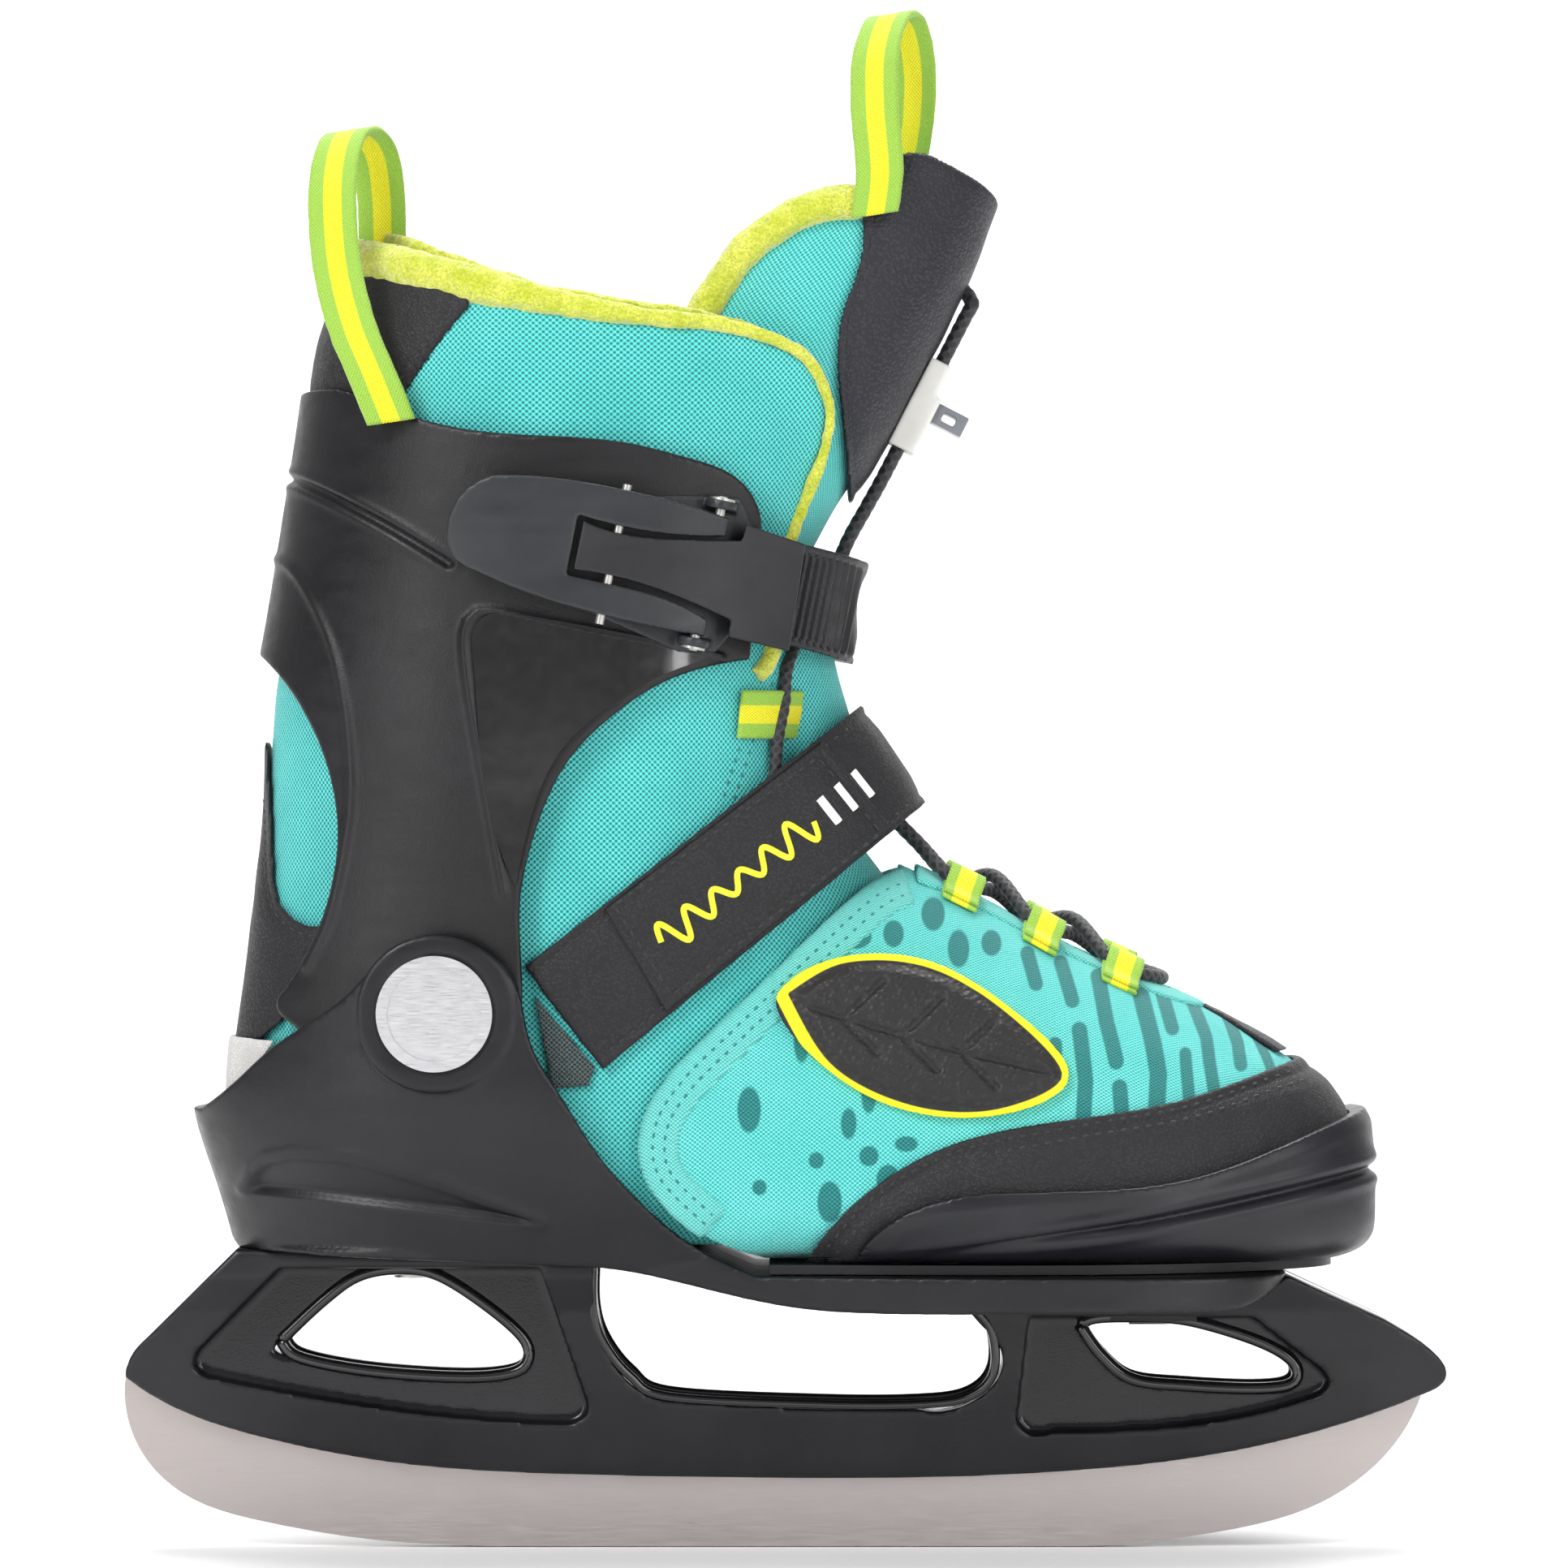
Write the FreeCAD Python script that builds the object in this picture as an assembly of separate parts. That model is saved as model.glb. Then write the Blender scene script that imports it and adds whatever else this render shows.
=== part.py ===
import FreeCAD, Part
import math
import os

V = FreeCAD.Vector

# Children's soft-boot ice skate, right foot, length-adjustable. Millimetres.
# +X points to the toe, -Y is the outer (buckle) side, +Z is up.
# The origin is the middle of the blade's flat running edge.

# ---- driving dimensions -------------------------------------------------
BLADE_T = 3.2            # thickness of the steel runner
PIVOT = (-71.0, 112.6)   # cuff pivot, X and Z
PIVOT_R = 4.0            # pivot bolt radius
RUN = 0.05               # radial running clearance round every pin
SPLIT_R = 45.0           # ankle split, a cylinder about the cuff pivot
STRAP_T = 2.0            # instep strap thickness
LACE_R = 1.5             # lace radius
WEB_T = 1.5              # pull loop webbing thickness
WEB_W = 10.0             # pull loop webbing width
BOLT_SPOTS = ((-77.5, 58.0), (97.0, 47.4))   # X and the height of the head's seat
POINTS = 28              # points round each boot section

# ---- the boot's form ----------------------------------------------------
# height, back of heel, front, half width of the boot's outer surface
SHAFT = (
    (56.0, -106.0, 80.0, 23.5),
    (64.0, -109.5, 84.0, 27.0),
    (76.0, -112.6, 86.0, 32.0),
    (90.0, -113.6, 78.0, 33.0),
    (105.0, -113.0, 58.0, 33.0),
    (120.0, -111.0, 36.0, 33.0),
    (135.0, -109.2, 25.0, 33.3),
    (150.0, -107.8, 14.0, 34.0),
    (165.0, -107.2, 8.0, 35.0),
    (180.0, -105.8, 7.0, 36.0),
    (195.0, -103.6, 8.5, 36.7),
    (210.0, -101.2, 13.0, 37.2),
    (225.0, -98.8, 24.0, 37.5),
    (240.0, -96.6, 34.0, 37.5),
    (256.0, -93.8, 42.0, 37.2),
    (276.0, -90.0, 50.0, 36.8),
)
WIDEST_X = -45.0         # where a shaft section is widest

# station, sideways lean, half width, underside, height of the side, top
FOOT = (
    (-40.0, 0.0, 36.0, 59.4, 78.0, 172.0),
    (-20.0, 0.0, 37.0, 59.4, 78.0, 162.0),
    (0.0, 0.5, 38.0, 59.4, 78.0, 152.0),
    (20.0, 1.0, 39.5, 59.4, 78.0, 145.5),
    (40.0, 1.8, 41.5, 59.4, 77.0, 136.0),
    (60.0, 2.6, 42.0, 59.4, 76.0, 125.0),
    (80.0, 3.4, 40.0, 59.4, 75.0, 116.0),
    (95.0, 4.0, 35.5, 59.6, 74.5, 108.5),
    (107.0, 4.2, 29.0, 60.2, 74.5, 101.0),
    (114.5, 4.2, 21.5, 62.0, 74.5, 92.5),
    (118.0, 4.2, 13.5, 65.5, 74.5, 84.0),
)


def power(value, exponent):
    return math.copysign(abs(value) ** exponent, value)


def mix(table, key, column):
    """Value of a table's column at a height or station between its rows."""
    if key <= table[0][0]:
        return table[0][column]
    for low, high in zip(table, table[1:]):
        if key <= high[0]:
            share = (key - low[0]) / (high[0] - low[0])
            return low[column] + share * (high[column] - low[column])
    return table[-1][column]


def closed_curve(points):
    """Smooth closed wire through evenly numbered points."""
    curve = Part.BSplineCurve()
    knots = [i / len(points) for i in range(len(points) + 1)]
    curve.interpolate(Points=points, PeriodicFlag=True, Parameters=knots)
    return Part.Wire([curve.toShape()])


def shaft_section(z, grow, bulge):
    """Level oval section of the boot at height z, grown outwards."""
    back = mix(SHAFT, z, 1) - grow
    front = mix(SHAFT, z, 2) + grow + bulge
    half = mix(SHAFT, z, 3) + grow
    points = []
    for i in range(POINTS):
        turn = 2 * math.pi * i / POINTS
        reach = front - WIDEST_X if math.cos(turn) > 0 else WIDEST_X - back
        x = WIDEST_X + reach * power(math.cos(turn), 2 / 2.25)
        y = half * power(math.sin(turn), 2 / 2.25)
        points.append(V(x, y, z))
    return closed_curve(points)


def foot_section(row, grow, sole):
    """Upright section of the forefoot at one station, grown outwards."""
    x, lean, half, low, side, top = row
    x += grow * min(max((x - 80.0) / 38.0, 0.0), 1.0)
    half += grow
    top += grow
    low -= sole
    points = []
    for i in range(POINTS):
        turn = 2 * math.pi * i / POINTS
        upper = math.sin(turn) > 0
        tall = top - side if upper else side - low
        bend = 2 / 2.35 if upper else 2 / 3.4
        y = lean + half * power(math.cos(turn), bend)
        z = side + tall * power(math.sin(turn), bend)
        points.append(V(x, y, z))
    return closed_curve(points)


def shaft_solid(grow, bulge=0.0):
    """The boot form, heel and shaft; grow and bulge are numbers or f(z)."""
    wide = grow if callable(grow) else (lambda z: grow)
    deep = bulge if callable(bulge) else (lambda z: bulge)
    wires = [shaft_section(row[0], wide(row[0]), deep(row[0])) for row in SHAFT]
    return Part.makeLoft(wires, True, False)


def shaft_shell(inner, outer, bulge=0.0):
    """Wall between two offsets of the boot form."""
    return shaft_solid(outer, bulge).cut(shaft_solid(inner, bulge))


def foot_shell(inner, outer, sole=0.0, floor=0.0):
    """Wall between two offsets of the forefoot form, with a floor that thick."""
    return foot_solid(outer, sole).cut(foot_solid(inner, sole - floor))


def foot_solid(grow, sole=0.0):
    """The forefoot form."""
    wires = [foot_section(row, grow, sole) for row in FOOT]
    return Part.makeLoft(wires, True, False)


def tapering(*knots):
    """An offset that changes in a straight line between (height, offset) knots."""
    return lambda z: mix(knots, z, 1)


# ---- outlines -----------------------------------------------------------
def run_edges(runs, place):
    """Edges through runs of points: two points a line, more a smooth curve."""
    edges = []
    for run in runs:
        spots = [place(*p) for p in run]
        if len(spots) == 2:
            edges.append(Part.makeLine(spots[0], spots[1]))
        else:
            curve = Part.BSplineCurve()
            curve.interpolate(spots)
            edges.append(curve.toShape())
    return edges


def side_prism(runs, y0, y1):
    """Outline drawn in side view (X, Z), pushed across from y0 to y1."""
    edges = run_edges(runs, lambda x, z: V(x, y0, z))
    face = Part.Face(Part.Wire(edges))
    return face.extrude(V(0, y1 - y0, 0))


def plan_prism(runs, z0, z1):
    """Outline drawn in plan (X, Y), pushed up from z0 to z1."""
    edges = run_edges(runs, lambda x, y: V(x, y, z0))
    face = Part.Face(Part.Wire(edges))
    return face.extrude(V(0, 0, z1 - z0))


def end_prism(runs, x0, x1):
    """Outline drawn in end view (Y, Z), pushed along from x0 to x1."""
    edges = run_edges(runs, lambda y, z: V(x0, y, z))
    face = Part.Face(Part.Wire(edges))
    return face.extrude(V(x1 - x0, 0, 0))


def polygon(*points):
    """Straight runs round a closed polygon."""
    return [(a, b) for a, b in zip(points, points[1:] + points[:1])]


def smooth_prism(points, y0, y1):
    """Smooth closed outline in side view, pushed across."""
    wire = closed_curve([V(x, y0, z) for x, z in points])
    return Part.Face(wire).extrude(V(0, y1 - y0, 0))


def box(x0, x1, y0, y1, z0, z1):
    return Part.makeBox(x1 - x0, y1 - y0, z1 - z0, V(x0, y0, z0))


def rod(start, end, radius):
    along = end - start
    return Part.makeCylinder(radius, along.Length, start, along)


def group(*shapes):
    return Part.makeCompound(list(shapes))


def tidy(shape):
    shape = shape.removeSplitter()
    return shape


# ---- blade and holder ---------------------------------------------------
def blade():
    runs = (
        ((-137.5, 36.0), (-137.4, 27.7), (-132.8, 17.5), (-125.1, 10.7), (-108.1, 5.0), (-84.3, 1.2),
         (-60.0, 0.0)),
        ((-60.0, 0.0), (60.0, 0.0)),
        ((60.0, 0.0), (75.0, 0.7), (90.8, 3.0), (107.8, 7.2), (121.4, 15.0), (130.7, 26.0), (133.4, 32.4)),
        ((133.4, 32.4), (118.0, 33.0), (90.0, 27.5), (56.0, 23.0), (0.0, 21.5), (-45.0, 22.5),
         (-80.0, 25.0), (-110.0, 31.0), (-137.5, 36.0)),
    )
    return side_prism(runs, -BLADE_T / 2, BLADE_T / 2)


SHELL_UNDER = (
    ((-113.4, 63.0), (-41.0, 60.4)),
    ((-41.0, 60.4), (-28.0, 58.6), (-12.0, 54.8), (3.6, 51.9), (20.0, 51.0), (38.0, 51.0)),
    ((38.0, 51.0), (90.0, 51.6)),
    ((90.0, 51.6), (97.6, 53.2), (104.0, 57.6)),
)


def holder_profile():
    """Cross-section of the holder: wide under the shell, slim at the blade."""
    half = ((15.5, 66.0), (15.5, 57.0), (11.5, 50.0), (8.6, 33.0), (5.6, 18.0), (4.2, 12.0))
    left = [(-y, z) for y, z in reversed(half)]
    return polygon(*(list(half) + left))


def rear_pocket():
    return (
        ((-104.7, 59.0), (-122.0, 41.5)),
        ((-122.0, 41.5), (-122.6, 38.0), (-118.3, 35.6)),
        ((-118.3, 35.6), (-91.0, 30.4), (-70.0, 27.6), (-45.2, 26.0)),
        ((-45.2, 26.0), (-41.2, 28.0), (-41.6, 32.8)),
        ((-41.6, 32.8), (-50.6, 59.0)),
        ((-50.6, 59.0), (-104.7, 59.0)),
    )


def rear_hole():
    return (
        (-104.9, 43.4), (-96.2, 51.5), (-89.0, 56.6), (-80.9, 58.2), (-72.4, 57.0), (-62.2, 50.7),
        (-54.2, 43.6), (-53.6, 38.6), (-58.0, 36.2), (-69.0, 35.6), (-87.7, 37.0), (-101.3, 39.8),
    )


def middle_window():
    return (
        ((-39.4, 70.0), (-39.4, 54.0)),
        ((-39.4, 54.0), (-37.9, 44.5), (-32.8, 35.4), (-24.5, 30.9)),
        ((-24.5, 30.9), (6.8, 29.2), (28.0, 29.2)),
        ((28.0, 29.2), (39.3, 30.8), (44.9, 36.6), (41.3, 46.4)),
        ((41.3, 46.4), (36.7, 51.6)),
        ((36.7, 51.6), (36.7, 70.0)),
        ((36.7, 70.0), (-39.4, 70.0)),
    )


def front_pocket():
    return (
        ((50.8, 48.6), (48.3, 27.0)),
        ((48.3, 27.0), (50.0, 24.5), (56.0, 24.2)),
        ((56.0, 24.2), (80.6, 25.4), (100.0, 28.6), (111.0, 32.0)),
        ((111.0, 32.0), (113.4, 34.6), (111.4, 38.0)),
        ((111.4, 38.0), (97.6, 48.6)),
        ((97.6, 48.6), (50.8, 48.6)),
    )


def front_hole():
    return (
        (61.6, 46.6), (65.0, 48.0), (74.0, 48.2), (84.8, 47.4), (99.3, 43.0), (106.4, 38.6),
        (106.2, 34.4), (99.0, 33.2), (84.0, 33.8), (72.6, 35.2), (66.0, 40.4),
    )


def blade_holder():
    runs = (
        ((-113.4, 63.0), (-41.0, 60.4)),
        ((-41.0, 60.4), (36.7, 60.4)),
        ((36.7, 60.4), (36.7, 51.0)),
        ((36.7, 51.0), (90.0, 51.6)),
        ((90.0, 51.6), (97.6, 53.2), (104.0, 57.6)),
        ((104.0, 57.6), (124.8, 48.1)),
        ((124.8, 48.1), (135.0, 41.3), (137.9, 37.0), (133.6, 32.5)),
        ((133.6, 32.5), (116.3, 26.0), (90.8, 19.7), (56.8, 15.8), (22.8, 14.5), (-11.2, 14.6),
         (-45.2, 15.3),
         (-79.2, 17.5), (-108.1, 23.0), (-125.1, 28.6), (-137.2, 36.0)),
        ((-137.2, 36.0), (-136.2, 39.6), (-132.8, 43.9)),
        ((-132.8, 43.9), (-113.4, 63.0)),
    )
    body = side_prism(runs, -20.0, 20.0)
    body = body.common(end_prism(holder_profile(), -140.0, 140.0))
    body = body.cut(side_prism(middle_window(), -21.0, 21.0)).cut(above_sole_line())
    for side in (-1, 1):
        body = body.cut(side_prism(rear_pocket(), side * 5.0, side * 21.0))
        body = body.cut(side_prism(front_pocket(), side * 5.0, side * 21.0))
    body = body.cut(smooth_prism(rear_hole(), -21.0, 21.0))
    body = body.cut(smooth_prism(front_hole(), -21.0, 21.0))
    body = body.cut(blade())
    for x, seat in BOLT_SPOTS:
        body = body.cut(rod(V(x, 0, seat - 9.0), V(x, 0, seat), 4.6))
        body = body.cut(rod(V(x, 0, seat - 1.0), V(x, 0, seat + 12.0), 2.5))
    return body.cut(button_slot())


def bolt(x, seat):
    """Vertical bolt from under a tower up into the shell."""
    shank = Part.makeCylinder(2.5, 5.8, V(x, 0, seat))
    head = Part.makeCylinder(4.1, 1.8, V(x, 0, seat - 1.8))
    return shank.fuse(head)


def mounting_bolts():
    return group(*[bolt(x, seat) for x, seat in BOLT_SPOTS])


# ---- base shell and size adjuster ---------------------------------------
BUTTON = (68.0, 86.0, 6.0)    # size button, X from, X to, half width


def button_slot():
    x0, x1, half = BUTTON
    return box(x0 - 0.3, x1 + 0.3, -half - 0.3, half + 0.3, 44.0, 58.2)


def above_sole_line():
    runs = SHELL_UNDER + (
        ((104.0, 57.6), (104.0, 150.0)),
        ((104.0, 150.0), (-140.0, 150.0)),
        ((-140.0, 150.0), (-140.0, 92.0)),
        ((-140.0, 92.0), (-124.0, 80.0), (-119.4, 71.0), (-113.4, 63.0)),
    )
    return side_prism(runs, -60.0, 60.0)


def cup_outline():
    return (
        ((-140.0, 92.0), (-121.0, 92.0)),
        ((-121.0, 92.0), (-112.0, 99.0), (-104.6, 105.6), (-89.4, 116.0), (-80.5, 125.0), (-71.0, 128.9),
         (-61.5, 126.3), (-54.6, 119.0), (-51.6, 107.0), (-45.2, 95.7), (-38.4, 84.7), (-29.9, 74.5),
         (-18.0, 64.4), (-8.0, 59.4)),
        ((-8.0, 59.4), (-8.0, 50.0)),
        ((-8.0, 50.0), (-140.0, 50.0)),
        ((-140.0, 50.0), (-140.0, 92.0)),
    )


def sole_plan():
    right = ((-113.0, 0.0), (-108.0, 16.0), (-92.0, 27.0), (-60.0, 30.0), (-20.0, 31.0), (20.0, 35.0),
             (55.0, 38.5), (80.0, 37.0), (96.0, 30.0), (103.0, 18.0), (104.0, 0.0))
    left = [(x, -y) for x, y in reversed(right)]
    return (right, left)


def base_shell():
    """Heel cup with its pivot bosses, the sole bar and the adjuster slot."""
    inner = tapering((56.0, 2.6), (76.0, 3.0), (94.0, 7.4), (300.0, 7.4))
    outer = tapering((56.0, 5.4), (76.0, 6.0), (94.0, 10.4), (300.0, 10.4))
    cup = shaft_shell(inner, outer).common(side_prism(cup_outline(), -60.0, 60.0))
    sole = polygon((-122.0, 50.0), (104.0, 50.0), (104.0, 58.6), (-6.0, 58.6), (-17.0, 63.6),
                   (-122.0, 63.6))
    floor = side_prism(sole, -60.0, 60.0).common(plan_prism(sole_plan(), 45.0, 70.0))
    body = cup.fuse(floor).common(above_sole_line())
    px, pz = PIVOT
    for side in (-1, 1):
        boss = rod(V(px, side * 40.0, pz), V(px, side * 43.6, pz), 16.0)
        recess = rod(V(px, side * 42.8, pz), V(px, side * 44.0, pz), 12.1)
        hole = rod(V(px, side * 30.0, pz), V(px, side * 44.0, pz), PIVOT_R)
        body = body.fuse(boss).cut(recess).cut(hole)
    for x, seat in BOLT_SPOTS:
        body = body.cut(rod(V(x, 0, seat - 1.0), V(x, 0, seat + 8.0), 2.5))
    return tidy(body.cut(button_slot()))


def size_button():
    """Push button under the front tower that frees the toe box."""
    x0, x1, half = BUTTON
    block = box(x0, x1, -half, half, 47.4, 54.2)
    rib = box(x0 + 4.0, x1 - 4.0, -half + 1.5, half - 1.5, 46.6, 47.4)
    return block.fuse(rib)


def pivot_bolts():
    px, pz = PIVOT
    pins = [rod(V(px, side * 34.4, pz), V(px, side * 42.8, pz), PIVOT_R) for side in (-1, 1)]
    return group(*pins)


def pivot_caps():
    """Domed metal discs over the pivot bolts, plain."""
    px, pz = PIVOT
    caps = []
    for side in (-1, 1):
        disc = rod(V(px, side * 42.8, pz), V(px, side * 44.6, pz), 11.8)
        dish = rod(V(px, side * 44.2, pz), V(px, side * 45.0, pz), 9.6)
        caps.append(disc.cut(dish))
    return group(*caps)


# ---- ankle split --------------------------------------------------------
def polar(angle, radius):
    turn = math.radians(angle)
    return (PIVOT[0] + radius * math.cos(turn), PIVOT[1] + radius * math.sin(turn))


def split_arc(radius, start, end, steps=8):
    return [polar(start + (end - start) * i / steps, radius) for i in range(steps + 1)]


LOWER_EDGE = 36.0        # top of the lower boot in front, seen from the pivot
UPPER_EDGE = 47.0        # foot of the shaft in front, seen from the pivot


def lower_region():
    """Side view of everything that stays with the heel."""
    arc = split_arc(SPLIT_R - 0.6, LOWER_EDGE, 150.0)
    runs = (
        ((-125.0, 64.0), (34.0, 64.0)),
        ((34.0, 64.0), (34.0, 150.0)),
        ((34.0, 150.0), polar(LOWER_EDGE, 150.0)),
        (polar(LOWER_EDGE, 150.0), arc[0]),
        arc,
        (arc[-1], (-125.0, arc[-1][1])),
        ((-125.0, arc[-1][1]), (-125.0, 64.0)),
    )
    return side_prism(runs, -60.0, 60.0)


def upper_region():
    """Side view of everything that tilts with the cuff."""
    arc = split_arc(SPLIT_R + 0.6, 147.0, UPPER_EDGE)
    knee = polar(UPPER_EDGE, 101.0)
    runs = (
        arc,
        (arc[-1], knee),
        (knee, (-0.5, 200.0), (4.1, 218.1), (8.2, 229.0), (8.6, 238.0), (2.4, 248.4)),
        ((2.4, 248.4), (-12.0, 253.8), (-28.2, 255.6), (-45.2, 258.4), (-62.2, 263.2), (-80.0, 270.0),
         (-92.0, 273.0)),
        ((-92.0, 273.0), (-125.0, 273.0)),
        ((-125.0, 273.0), (-125.0, arc[0][1])),
        ((-125.0, arc[0][1]), arc[0]),
    )
    return side_prism(runs, -60.0, 60.0)


# ---- soft boot, heel part -----------------------------------------------
def rear_boot():
    """Lower soft boot: walls and sole round the heel and instep."""
    walls = shaft_shell(-3.0, 0.0)
    sole = shaft_solid(-0.5).common(box(-125.0, 34.0, -40.0, 40.0, 55.0, 67.0))
    return walls.fuse(sole).common(lower_region())


def insole():
    """Cushioned foot bed lying on the boot's sole."""
    plan = shaft_solid(-3.6)
    return plan.common(box(-125.0, 60.0, -40.0, 40.0, 67.2, 70.2))


def heel_leather():
    """Leather counter round the back of the heel."""
    runs = (
        ((-130.0, 97.0), (-121.0, 97.0)),
        ((-121.0, 97.0), (-104.0, 110.0), (-98.0, 124.0), (-95.0, 134.6)),
        ((-95.0, 134.6), (-130.0, 134.6)),
        ((-130.0, 134.6), (-130.0, 97.0)),
    )
    return shaft_shell(0.3, 1.5).common(side_prism(runs, -60.0, 60.0))


def heel_tab():
    """Small pale wedge of padding at the back of the heel cup."""
    runs = polygon((-130.0, 93.0), (-116.0, 93.0), (-108.0, 102.0), (-105.0, 106.4), (-130.0, 107.6))
    shell = shaft_shell(1.8, 3.1)
    return shell.common(side_prism(runs, -60.0, 60.0))


# ---- soft boot, shaft ---------------------------------------------------
def boot_shaft():
    """Upper soft boot round the shin, open in front."""
    return shaft_shell(-5.0, 0.0).common(upper_region()).cut(tongue_solid(0.2))


def collar_lining():
    """Fleece round the inside of the collar."""
    runs = (
        ((-125.0, 222.0), (0.0, 222.0)),
        ((0.0, 222.0), (6.0, 234.0), (4.0, 246.0), (-4.0, 253.0)),
        ((-4.0, 253.0), (-16.0, 256.6), (-30.0, 258.4), (-46.0, 261.2), (-62.2, 266.0),
         (-80.0, 273.0), (-91.0, 275.6)),
        ((-91.0, 275.6), (-125.0, 275.6)),
        ((-125.0, 275.6), (-125.0, 222.0)),
    )
    ring = shaft_shell(-8.6, -5.3).common(side_prism(runs, -60.0, 60.0))
    return ring.cut(tongue_solid(0.3))


def collar_leather():
    """Leather patch over the back of the collar."""
    runs = (
        ((-125.0, 226.0), (-84.0, 226.0)),
        ((-84.0, 226.0), (-77.6, 240.0), (-64.5, 257.0)),
        ((-64.5, 257.0), (-66.0, 261.4), (-80.0, 269.8), (-90.0, 272.4)),
        ((-90.0, 272.4), (-125.0, 272.4)),
        ((-125.0, 272.4), (-125.0, 226.0)),
    )
    return shaft_shell(0.2, 1.2).common(side_prism(runs, -60.0, 60.0))


# ---- tongue -------------------------------------------------------------
# height, front, half width
TONGUE = (
    (160.0, 17.0, 22.0),
    (170.0, 9.6, 24.0),
    (180.0, 2.6, 25.0),
    (190.0, 1.2, 26.0),
    (200.0, 3.2, 27.0),
    (212.0, 8.6, 27.5),
    (226.0, 16.8, 27.5),
    (240.0, 24.2, 27.5),
    (254.0, 31.4, 27.0),
    (268.0, 37.8, 26.0),
    (280.0, 42.2, 24.5),
    (294.0, 45.4, 22.0),
)


def tongue_section(row, grow):
    z, front, half = row
    middle = front - 32.0
    points = []
    for i in range(POINTS):
        turn = 2 * math.pi * i / POINTS
        x = middle + (32.0 + grow) * power(math.cos(turn), 2 / 2.2)
        y = (half + grow) * power(math.sin(turn), 2 / 2.2)
        points.append(V(x, y, z))
    return closed_curve(points)


def tongue_solid(grow):
    return Part.makeLoft([tongue_section(row, grow) for row in TONGUE], True, False)


def tongue_region():
    toe_end = split_arc(97.6, UPPER_EDGE, 35.0, 4)
    runs = (
        (polar(UPPER_EDGE, 68.0), toe_end[0]),
        toe_end,
        (toe_end[-1], polar(35.0, 125.0)),
        (polar(35.0, 125.0), (70.0, 260.0)),
        ((70.0, 260.0), (46.5, 277.0)),
        ((46.5, 277.0), (44.0, 282.0), (36.0, 286.4), (26.5, 289.8), (21.0, 288.0), (15.0, 282.6)),
        ((15.0, 282.6), (6.5, 281.6), (-2.0, 277.6), (-11.2, 268.6), (-20.6, 254.0), (-27.0, 235.0),
         (-30.0, 205.0)),
        ((-30.0, 205.0), polar(UPPER_EDGE, 68.0)),
    )
    return side_prism(runs, -60.0, 60.0)


def tongue():
    """Padded tongue that wraps the shin and ends over the instep."""
    shell = tongue_solid(0.0).cut(tongue_solid(-5.0))
    return shell.common(tongue_region())


def tongue_leather():
    """Smooth patch on the front of the tongue that carries the lace lock."""
    runs = (
        ((13.8, 214.0), (11.8, 236.0), (12.0, 255.0), (16.4, 270.0), (16.8, 281.0), (21.6, 287.0)),
        ((21.6, 287.0), (26.5, 288.8), (36.0, 285.2), (43.2, 281.0), (46.0, 276.0)),
        ((46.0, 276.0), (70.0, 260.0)),
        ((70.0, 260.0), (50.0, 214.0)),
        ((50.0, 214.0), (13.8, 214.0)),
    )
    shell = tongue_solid(1.4).cut(tongue_solid(0.2))
    return shell.common(side_prism(runs, -60.0, 60.0))


# ---- cuff ---------------------------------------------------------------
CUFF_IN = tapering((56.0, 3.4), (135.0, 3.4), (195.0, 1.4), (300.0, 1.4))
CUFF_OUT = tapering((56.0, 6.4), (135.0, 6.4), (195.0, 4.4), (300.0, 4.4))


def on_cuff(low, high):
    """Wall lying on the outside of the cuff, between two heights above it."""
    return shaft_shell(lambda z: CUFF_OUT(z) + low, lambda z: CUFF_OUT(z) + high)


def cuff_region():
    runs = (
        ((-112.0, 238.6), (-100.5, 240.6), (-92.0, 240.4), (-79.2, 235.6), (-62.2, 231.2), (-45.2, 230.0),
         (-31.6, 228.7), (-19.7, 225.8), (-8.7, 221.0), (-5.0, 215.0), (-5.3, 208.0)),
        ((-5.3, 208.0), (-7.0, 184.8)),
        ((-7.0, 184.8), (-16.3, 183.0), (-24.8, 179.9), (-35.0, 173.1), (-43.5, 164.6), (-48.6, 155.2),
         (-52.0, 145.0), (-53.8, 134.8), (-53.6, 124.6), (-53.4, 114.0)),
        ((-53.4, 114.0), (-56.0, 104.0), (-63.0, 97.4), (-71.0, 95.6), (-82.0, 97.4), (-93.0, 104.0),
         (-102.0, 110.6)),
        ((-102.0, 110.6), (-104.4, 113.6), (-102.4, 117.4)),
        ((-102.4, 117.4), (-97.0, 126.3), (-93.4, 135.0), (-91.4, 148.0), (-94.5, 165.4), (-99.6, 175.6),
         (-106.6, 184.0), (-118.0, 190.0)),
        ((-118.0, 190.0), (-118.0, 238.0)),
        ((-118.0, 238.0), (-112.0, 238.6)),
    )
    return side_prism(runs, -60.0, 60.0)


def cuff():
    """Hard plastic ankle cuff, a C that is open in front."""
    body = shaft_shell(CUFF_IN, CUFF_OUT).common(cuff_region())
    px, pz = PIVOT
    body = body.cut(rod(V(-30.0, 30.0, 205.5), V(-30.0, 60.0, 205.5), 2.0))
    return body.cut(rod(V(px, -50.0, pz), V(px, 50.0, pz), PIVOT_R + RUN))


def cuff_inset():
    """Glossy panels let onto the cuff below the buckle."""
    runs = (
        ((-63.4, 188.0), (-62.4, 192.0), (-58.0, 194.4)),
        ((-58.0, 194.4), (-40.0, 191.4), (-12.4, 185.6)),
        ((-12.4, 185.6), (-24.8, 181.4), (-36.5, 174.4), (-45.8, 165.4), (-51.0, 154.0), (-54.6, 138.6)),
        ((-54.6, 138.6), (-59.6, 152.0), (-62.0, 168.0), (-63.4, 188.0)),
    )
    panels = on_cuff(0.0, 0.7).common(side_prism(runs, -60.0, 60.0))
    return panels.cut(side_prism(plate_outline(), -60.0, 0.0))


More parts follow.
